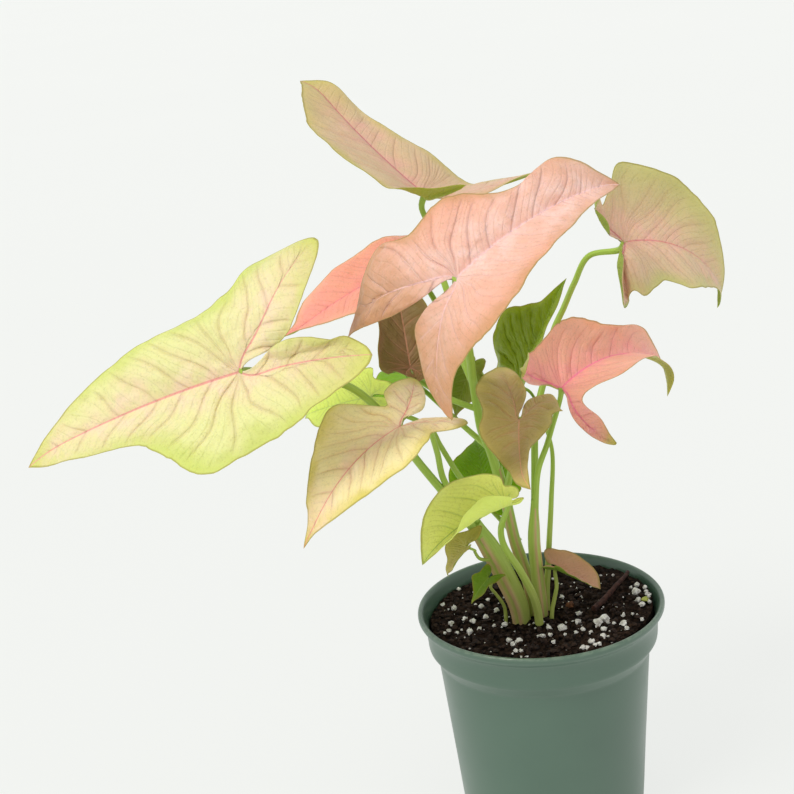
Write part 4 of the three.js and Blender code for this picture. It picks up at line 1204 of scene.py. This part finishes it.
def build_stem(name, material):
    """Joins a shoot's sheath and its petioles, or a single petiole, into one piece."""
    parts = [tube(**SHEATHS[name])] if name in SHEATHS else []
    for petiole in PETIOLES[name]:
        parts.append(tube(petiole_points(petiole), petiole["radii"], swell=0.25))
    all_points, all_faces, skins, tans = zip(*parts)
    faces = []
    start = 0
    for part_points, part_faces in zip(all_points, all_faces):
        faces += [tuple(v + start for v in face) for face in part_faces]
        start += len(part_points)
    points = np.vstack(all_points)
    thing = new_object(f"{name}_stem", points, faces, material)
    add_attribute(thing, "skin", np.vstack(skins))
    add_attribute(thing, "tan", np.concatenate(tans))
    add_attribute(thing, "height", points[:, 2])
    return finish_piece(thing, name, "stem")


# ---------------------------------------------------------------- pot
def pot_profile():
    """Radius and height down the outside, across the base and back up the inside."""
    height = POT["height"]
    inner = POT["collar_radius"] - POT["wall"]
    neck = POT["neck_radius"]
    collar = POT["collar_radius"]
    lip = POT["lip_radius"]
    flare = POT["flare_from"]
    base = POT["base_radius"]
    return [
        (0, 0), (base - 1.6, 0), (base - 0.5, 0.3), (base, 1.3), (base + 3.0, 35),
        (neck - 0.35, POT["neck_height"] - 3), (neck, POT["neck_height"]),
        (neck + 0.9, POT["neck_height"] + 1.6), (collar - 0.7, POT["collar_bottom"] - 1.2),
        (collar, POT["collar_bottom"]), (collar + 0.35, 95), (collar + 0.7, flare),
        (collar + 1.6, flare + 3.5), (lip - 0.7, flare + 5.5), (lip - 0.1, flare + 6.6),
        (lip, height - 1.2), (lip - 0.25, height - 0.4), (lip - 0.8, height),
        (lip - 1.5, height - 0.15), (lip - POT["lip_width"], height - 1.0),
        (inner + 1.4, flare + 4.2), (inner + 0.4, flare + 0.3), (inner, POT["collar_bottom"] + 0.6),
        (neck - POT["wall"], POT["neck_height"] + 0.4),
        (base - POT["wall"] + 0.4, POT["floor"] + 3), (base - POT["wall"] - 0.6, POT["floor"]),
        (0, POT["floor"]),
    ]


def circle(radius, segments):
    """Points round a circle about the axis, as x and y."""
    angles = [2 * math.pi * j / segments for j in range(segments)]
    return [(radius * math.cos(angle), radius * math.sin(angle)) for angle in angles]


def lathe(profile, segments):
    """Points and faces of a profile turned round Z, closed where it meets the axis."""
    points = []
    rows = []
    for radius, height in profile:
        if radius == 0:
            rows.append([len(points)] * segments)
            points.append((0, 0, height))
            continue
        rows.append(list(range(len(points), len(points) + segments)))
        points += [(x, y, height) for x, y in circle(radius, segments)]
    faces = []
    for low, high in zip(rows, rows[1:]):
        for j in range(segments):
            k = (j + 1) % segments
            corners = [low[j], low[k], high[k], high[j]]
            kept = [v for i, v in enumerate(corners) if v not in corners[:i]]
            if len(kept) > 2:
                faces.append(tuple(kept))
    return points, faces


def cut_drain_holes(pot):
    """Cuts the ring of drain holes through the floor."""
    bm = bmesh.new()
    circle_radius = POT["drain_circle"]
    radius = POT["drain_radius"] * MM
    for i in range(POT["drain_holes"]):
        angle = 2 * math.pi * (i + 0.5) / POT["drain_holes"]
        place = Vector((
            circle_radius * math.cos(angle) * MM, circle_radius * math.sin(angle) * MM, 0,
        ))
        bmesh.ops.create_cone(
            bm, cap_ends=True, segments=28, radius1=radius, radius2=radius,
            depth=4 * POT["floor"] * MM, matrix=Matrix.Translation(place),
        )
    mesh = bpy.data.meshes.new("drain_cutters")
    bm.to_mesh(mesh)
    bm.free()
    cutter = bpy.data.objects.new("drain_cutters", mesh)
    bpy.context.scene.collection.objects.link(cutter)
    modifier = pot.modifiers.new("drains", "BOOLEAN")
    modifier.operation = "DIFFERENCE"
    modifier.solver = "EXACT"
    modifier.object = cutter
    graph = bpy.context.evaluated_depsgraph_get()
    cut = bpy.data.meshes.new_from_object(pot.evaluated_get(graph))
    pot.modifiers.clear()
    pot.data = cut
    bpy.data.objects.remove(cutter)


def build_pot():
    """Turns the pot's smooth profile and cuts its drain holes."""
    first, *body, last = pot_profile()
    rounded = [first, *map(tuple, centripetal_curve(body, 4)), last]
    points, faces = lathe(rounded, POT["segments"])
    pot = new_object("pot_shell", points, [tuple(reversed(f)) for f in faces], pot_material())
    cut_drain_holes(pot)
    pot.data.shade_smooth()
    pot.data.set_sharp_from_angle(angle=POT_SHARP_ANGLE)
    heights = np.array([v.co.z for v in pot.data.vertices]) / MM
    radii = np.array([v.co.xy.length for v in pot.data.vertices]) / MM
    top = smoothstep(POT["height"] - 1.5, POT["height"] - 0.5, heights)
    outer = smoothstep(POT["lip_radius"] - 2.2, POT["lip_radius"] - 1.2, radii)
    # The rim's top edge, painted paler: scuffs and a painted highlight.
    add_attribute(pot, "rim", top * outer)
    return finish_piece(pot, "pot", "pot")


# ---------------------------------------------------------------- soil
def soil_height(x, y):
    """The part's own soil surface: heaped at the right and the front, and lumpy."""
    rim = POT["collar_radius"]
    right = smooth(np.clip((x / rim + 0.1) / 1.1, 0, 1))
    front = smooth(np.clip((-y / rim - 0.2) / 0.8, 0, 1))
    lumps = np.sin(0.31 * x + 1.7 * np.sin(0.23 * y)) * np.cos(0.37 * y + 0.9)
    fine = 0.5 * np.sin(0.83 * x + 0.4) * np.sin(0.79 * y - 1.1)
    heap = SOIL["heap_right"] * right + SOIL["heap_front"] * front
    return SOIL["level"] + heap + SOIL["lump_height"] * (lumps + fine)


def crumb_height(x, y):
    """Fine crumbs on the soil surface."""
    place = Vector((x * 0.55, y * 0.55, 3.1))
    coarse = noise.fractal(place, 0.9, 2.1, 3)
    grit = noise.noise(place * 3.3)
    return 0.85 * coarse + 0.45 * max(grit, -0.3)


def soil_top(x, y):
    """The height of the soil with its crumbs."""
    return float(soil_height(x, y)) + crumb_height(x, y)


def build_soil():
    """The crumbly surface in rings about the axis, closed below along the inside of the pot."""
    segments = 220
    rings = 74
    top = POT["collar_radius"] - POT["wall"] - 0.3
    points = [(0, 0, soil_top(0, 0))]
    for ring in range(1, rings + 1):
        points += [(x, y, soil_top(x, y)) for x, y in circle(top * ring / rings, segments)]
    low_rows = [
        (POT["collar_radius"], POT["collar_bottom"] + 0.6),
        (POT["neck_radius"], POT["neck_height"] + 0.4),
        (POT["base_radius"], POT["floor"] + 0.3),
    ]
    for radius, height in low_rows:
        inside = circle(radius - POT["wall"] - 0.4, segments)
        points += [(x, y, height) for x, y in inside]
    points.append((0, 0, POT["floor"] + 0.3))
    faces = [(0, 1 + j, 1 + (j + 1) % segments) for j in range(segments)]
    for ring in range(rings + len(low_rows) - 1):
        for j in range(segments):
            a = 1 + ring * segments + j
            b = 1 + ring * segments + (j + 1) % segments
            faces.append((a, a + segments, b + segments, b))
    last = 1 + (rings + len(low_rows) - 1) * segments
    faces += [(last + j, len(points) - 1, last + (j + 1) % segments) for j in range(segments)]
    return finish_piece(new_object("soil_mix", points, faces, soil_material()), "soil", "soil")


def grain_mesh(rng, size, squash, subdivisions, roughness):
    """One irregular grain about the origin, as points and faces."""
    bm = bmesh.new()
    bmesh.ops.create_icosphere(bm, subdivisions=subdivisions, radius=1)
    shift = Vector([rng.uniform(-50, 50) for _ in range(3)])
    about_z = Matrix.Rotation(rng.uniform(0, GRAIN_TURN), 3, "Z")
    turn = about_z @ Matrix.Rotation(rng.uniform(0, GRAIN_TURN), 3, "X")
    points = []
    for vertex in bm.verts:
        bump = 1 + roughness * noise.noise(vertex.co * 1.7 + shift)
        place = turn @ (vertex.co * bump)
        points.append((place.x * size, place.y * size, place.z * size * squash))
    faces = [tuple(v.index for v in face.verts) for face in bm.faces]
    bm.free()
    return points, faces


def on_soil(rng, spread):
    """A random place on the soil clear of the pot's wall, as x and y."""
    radius = spread * math.sqrt(rng.uniform(0.01, 1))
    angle = rng.uniform(0, 2 * math.pi)
    return radius * math.cos(angle), radius * math.sin(angle)


def scatter_grains(name, places, material, subdivisions, roughness):
    """Joins grains at the given (x, y, size, squash, sunk) places into one piece."""
    rng = random.Random(RANDOM_SEED + len(places))
    points = []
    faces = []
    for x, y, size, squash, sunk in places:
        grain, grain_faces = grain_mesh(rng, size, squash, subdivisions, roughness)
        base = soil_top(x, y) + size * squash * (1 - sunk)
        start = len(points)
        points += [(px + x, py + y, pz + base) for px, py, pz in grain]
        faces += [tuple(v + start for v in face) for face in grain_faces]
    return finish_piece(new_object(name, points, faces, material), None, "soil")


# The white grains that show in the photograph: pixel column, row and radius in pixels.
PERLITE_PIXELS = [
    (448.5, 586, 2.3), (443, 603, 2.5), (443, 611, 2), (454, 608, 3.2), (451, 623.5, 3.5),
    (449, 630, 2.5), (445, 633, 2), (457, 631, 2.3), (465, 619, 3.5), (473, 620, 3.5),
    (479, 626, 3), (470, 632, 3.5), (485.5, 616.5, 3), (496, 608.5, 3.3), (481, 606, 3),
    (488, 599, 2.5), (494, 625, 2.5), (505, 624.5, 3), (520, 617, 3), (509, 640, 3),
    (519, 642, 4.5), (513, 644, 3), (516, 651, 3), (521, 650, 2.5), (549, 628, 3),
    (550, 633, 2.8), (543, 636, 2.8), (562, 628, 5), (565, 634, 2), (562, 597, 2.5),
    (553, 641, 2.5), (578, 622, 3.5), (576, 631, 2.2), (583, 629.5, 3), (591, 631, 2.2),
    (579, 613, 3), (598, 623, 5.5), (604, 619, 5.5), (608, 620.5, 3), (604, 629, 3.5),
    (603, 636, 4), (591.5, 642, 4), (583, 648, 3.5), (587, 647, 3), (595, 646, 2.8),
    (599, 645, 2.8), (614, 623, 2), (624, 624, 3.5), (627, 628, 3), (623, 614, 2.2),
    (642, 617.5, 2.5), (612, 640, 1.8), (636, 593, 5), (637, 585, 3), (631, 587, 2),
    (638, 600, 3), (642, 605, 3.5), (646, 591.5, 2.5), (649, 586, 2.5), (653, 594, 3.2),
    (657.5, 595.5, 2), (656.5, 602, 2.5),
]
LIME_BIT_PIXEL = (645, 599.5, 3.5)
BARK_BIT_PIXEL = (570, 605, 4.5)
WHITE_DUST = 170                     # smaller white grains, scattered at random
DUST_SPREAD = 47                     # from the middle of the pot, in millimetres
DARK_CRUMBS = 760
CRUMB_SPREAD = 50
GRAIN_TURN = 6.28                    # a grain is turned at random by up to about a full turn


def on_soil_at(column, row, radius):
    """Where a pixel of the photograph falls on the soil, and the grain's radius, in millimetres."""
    right, up, forward = camera_axes()
    centre = PHOTO_PIXELS / 2
    ray = forward * FOCAL_PIXELS + right * (column - centre) - up * (row - centre)
    level = SOIL["level"]
    for _ in range(6):
        reach = (level - CAMERA_PLACE[2]) / ray.z
        x = CAMERA_PLACE[0] + reach * ray.x
        y = CAMERA_PLACE[1] + reach * ray.y
        level = float(soil_height(x, y)) + 0.8
    held = min(1, (POT["collar_radius"] - 3) / math.hypot(x, y))
    return x * held, y * held, radius * reach


def build_grains():
    """The white grains, the dark crumbs and two odd bits on the soil."""
    rng = random.Random(RANDOM_SEED)
    perlite = []
    for pixel in PERLITE_PIXELS:
        x, y, size = on_soil_at(*pixel)
        perlite.append((x, y, 0.88 * size, rng.uniform(0.75, 0.95), 0.3))
    for _ in range(WHITE_DUST):
        x, y = on_soil(rng, DUST_SPREAD)
        perlite.append((x, y, rng.uniform(0.25, 0.7), rng.uniform(0.7, 1), 0.5))
    white = plain_material("perlite_grain", (190, 184, 174), (255, 253, 248), 700, 0.9, 0.5)
    scatter_grains("perlite", perlite, white, 2, 0.7)
    crumbs = []
    for _ in range(DARK_CRUMBS):
        x, y = on_soil(rng, CRUMB_SPREAD)
        crumbs.append((x, y, rng.uniform(0.4, 1.7), rng.uniform(0.4, 0.8), 0.5))
    bark = plain_material("bark_crumb", (10, 7, 6), (62, 44, 34), 500, 0.95, 0.6)
    scatter_grains("soil_crumbs", crumbs, bark, 1, 0.7)
    lime = plain_material("lime_bit_skin", (150, 160, 60), (196, 200, 110), 500, 0.8, 0.4)
    chip = plain_material("bark_chip_skin", (74, 44, 28), (122, 78, 50), 500, 0.9, 0.6)
    bits = {"lime_bit": (LIME_BIT_PIXEL, lime), "bark_chip": (BARK_BIT_PIXEL, chip)}
    for name, (pixel, skin) in bits.items():
        x, y, size = on_soil_at(*pixel)
        scatter_grains(name, [(x, y, size, 0.6, 0.2)], skin, 2, 0.6)


TWIG_ROUTE = [(23.5, -9.5), (31, 1), (38, 11.5), (43, 19.5), (45.2, 24.5)]
TWIG_RADII = (1.4, 0.9)
TWIG_LIFT = 2.45
TWIG_WOBBLE = 0.5


def build_twig():
    """A dry, slightly knobbly twig that lies on the soil."""
    route = [(x, y, float(soil_height(x, y)) + TWIG_LIFT) for x, y in TWIG_ROUTE]
    bark = plain_material("twig_bark", (38, 20, 15), (84, 50, 38), 420, 0.8, 0.6)
    points, faces, _, _ = tube(route, TWIG_RADII)
    wobble = np.array([noise.noise(Vector(p) * 0.35) for p in points])
    points = points + TWIG_WOBBLE * wobble[:, None]
    return finish_piece(new_object("twig_root", points, faces, bark), "twig", "twig")


# ---------------------------------------------------------------- stage
def build_camera():
    right, up, forward = camera_axes()
    data = bpy.data.cameras.new("camera")
    data.sensor_width = SENSOR
    data.lens = FOCAL_PIXELS / PHOTO_PIXELS * SENSOR
    data.clip_start = 0.05
    data.clip_end = 60
    camera = bpy.data.objects.new("camera", data)
    axes = Matrix((right, up, -forward)).transposed().to_4x4()
    camera.matrix_world = Matrix.Translation(Vector(CAMERA_PLACE) * MM) @ axes
    bpy.context.scene.collection.objects.link(camera)
    bpy.context.scene.camera = camera


def build_light():
    """A pale studio, a little darker towards the front, and one soft lamp from the upper left."""
    world = bpy.data.worlds.new("studio")
    world.use_nodes = True
    nodes = world.node_tree.nodes
    links = world.node_tree.links
    split = nodes.new("ShaderNodeSeparateXYZ")
    links.new(nodes.new("ShaderNodeTexCoord").outputs["Generated"], split.inputs[0])
    level = nodes.new("ShaderNodeMapRange")
    limits = {"From Min": -1, "From Max": 1, "To Min": WORLD_FRONT, "To Max": WORLD_BACK}
    for key, number in limits.items():
        level.inputs[key].default_value = number
    links.new(split.outputs["Y"], level.inputs["Value"])
    background = nodes["Background"]
    background.inputs["Color"].default_value = WORLD_COLOUR
    links.new(level.outputs["Result"], background.inputs["Strength"])
    bpy.context.scene.world = world
    key = bpy.data.lights.new("key", "SUN")
    key.energy = KEY_POWER
    key.angle = math.radians(KEY_SPREAD)
    key.color = KEY_COLOUR
    lamp = bpy.data.objects.new("key", key)
    lamp.rotation_euler = (-Vector(KEY_FROM)).to_track_quat("-Z", "Y").to_euler()
    bpy.context.scene.collection.objects.link(lamp)
    bpy.context.scene.view_settings.view_transform = "Standard"


def build_floor():
    """A pale, faintly lit sweep, so that the plant's shadow stays soft."""
    shader = Shader("pale_floor", 0.9, 0.1)
    shade = shader.noise(shader.object_place(), 1.5, 2)
    pale = shader.mix(shade, linear((97, 98, 96)), linear((101, 102, 100)))
    shader.finish("Base Color", pale)
    shader.finish("Emission Color", (0.985, 1.0, 0.975, 1))
    shader.finish("Emission Strength", FLOOR_GLOW)
    reach = 20000
    corners = [(-reach, -reach, 0), (reach, -reach, 0), (reach, reach, 0), (-reach, reach, 0)]
    floor = new_object("floor", corners, [(0, 1, 2, 3)], shader.material, smooth_shading=False)


# ---------------------------------------------------------------- build
build_camera()
build_light()
build_floor()
build_pot()
build_soil()
build_grains()
build_twig()
GREEN_SKIN = stem_material()
for stem_name in PETIOLES:
    build_stem(stem_name, GREEN_SKIN)
for leaf_name, leaf_shape in LEAVES.items():
    build_leaf(leaf_name, leaf_shape)
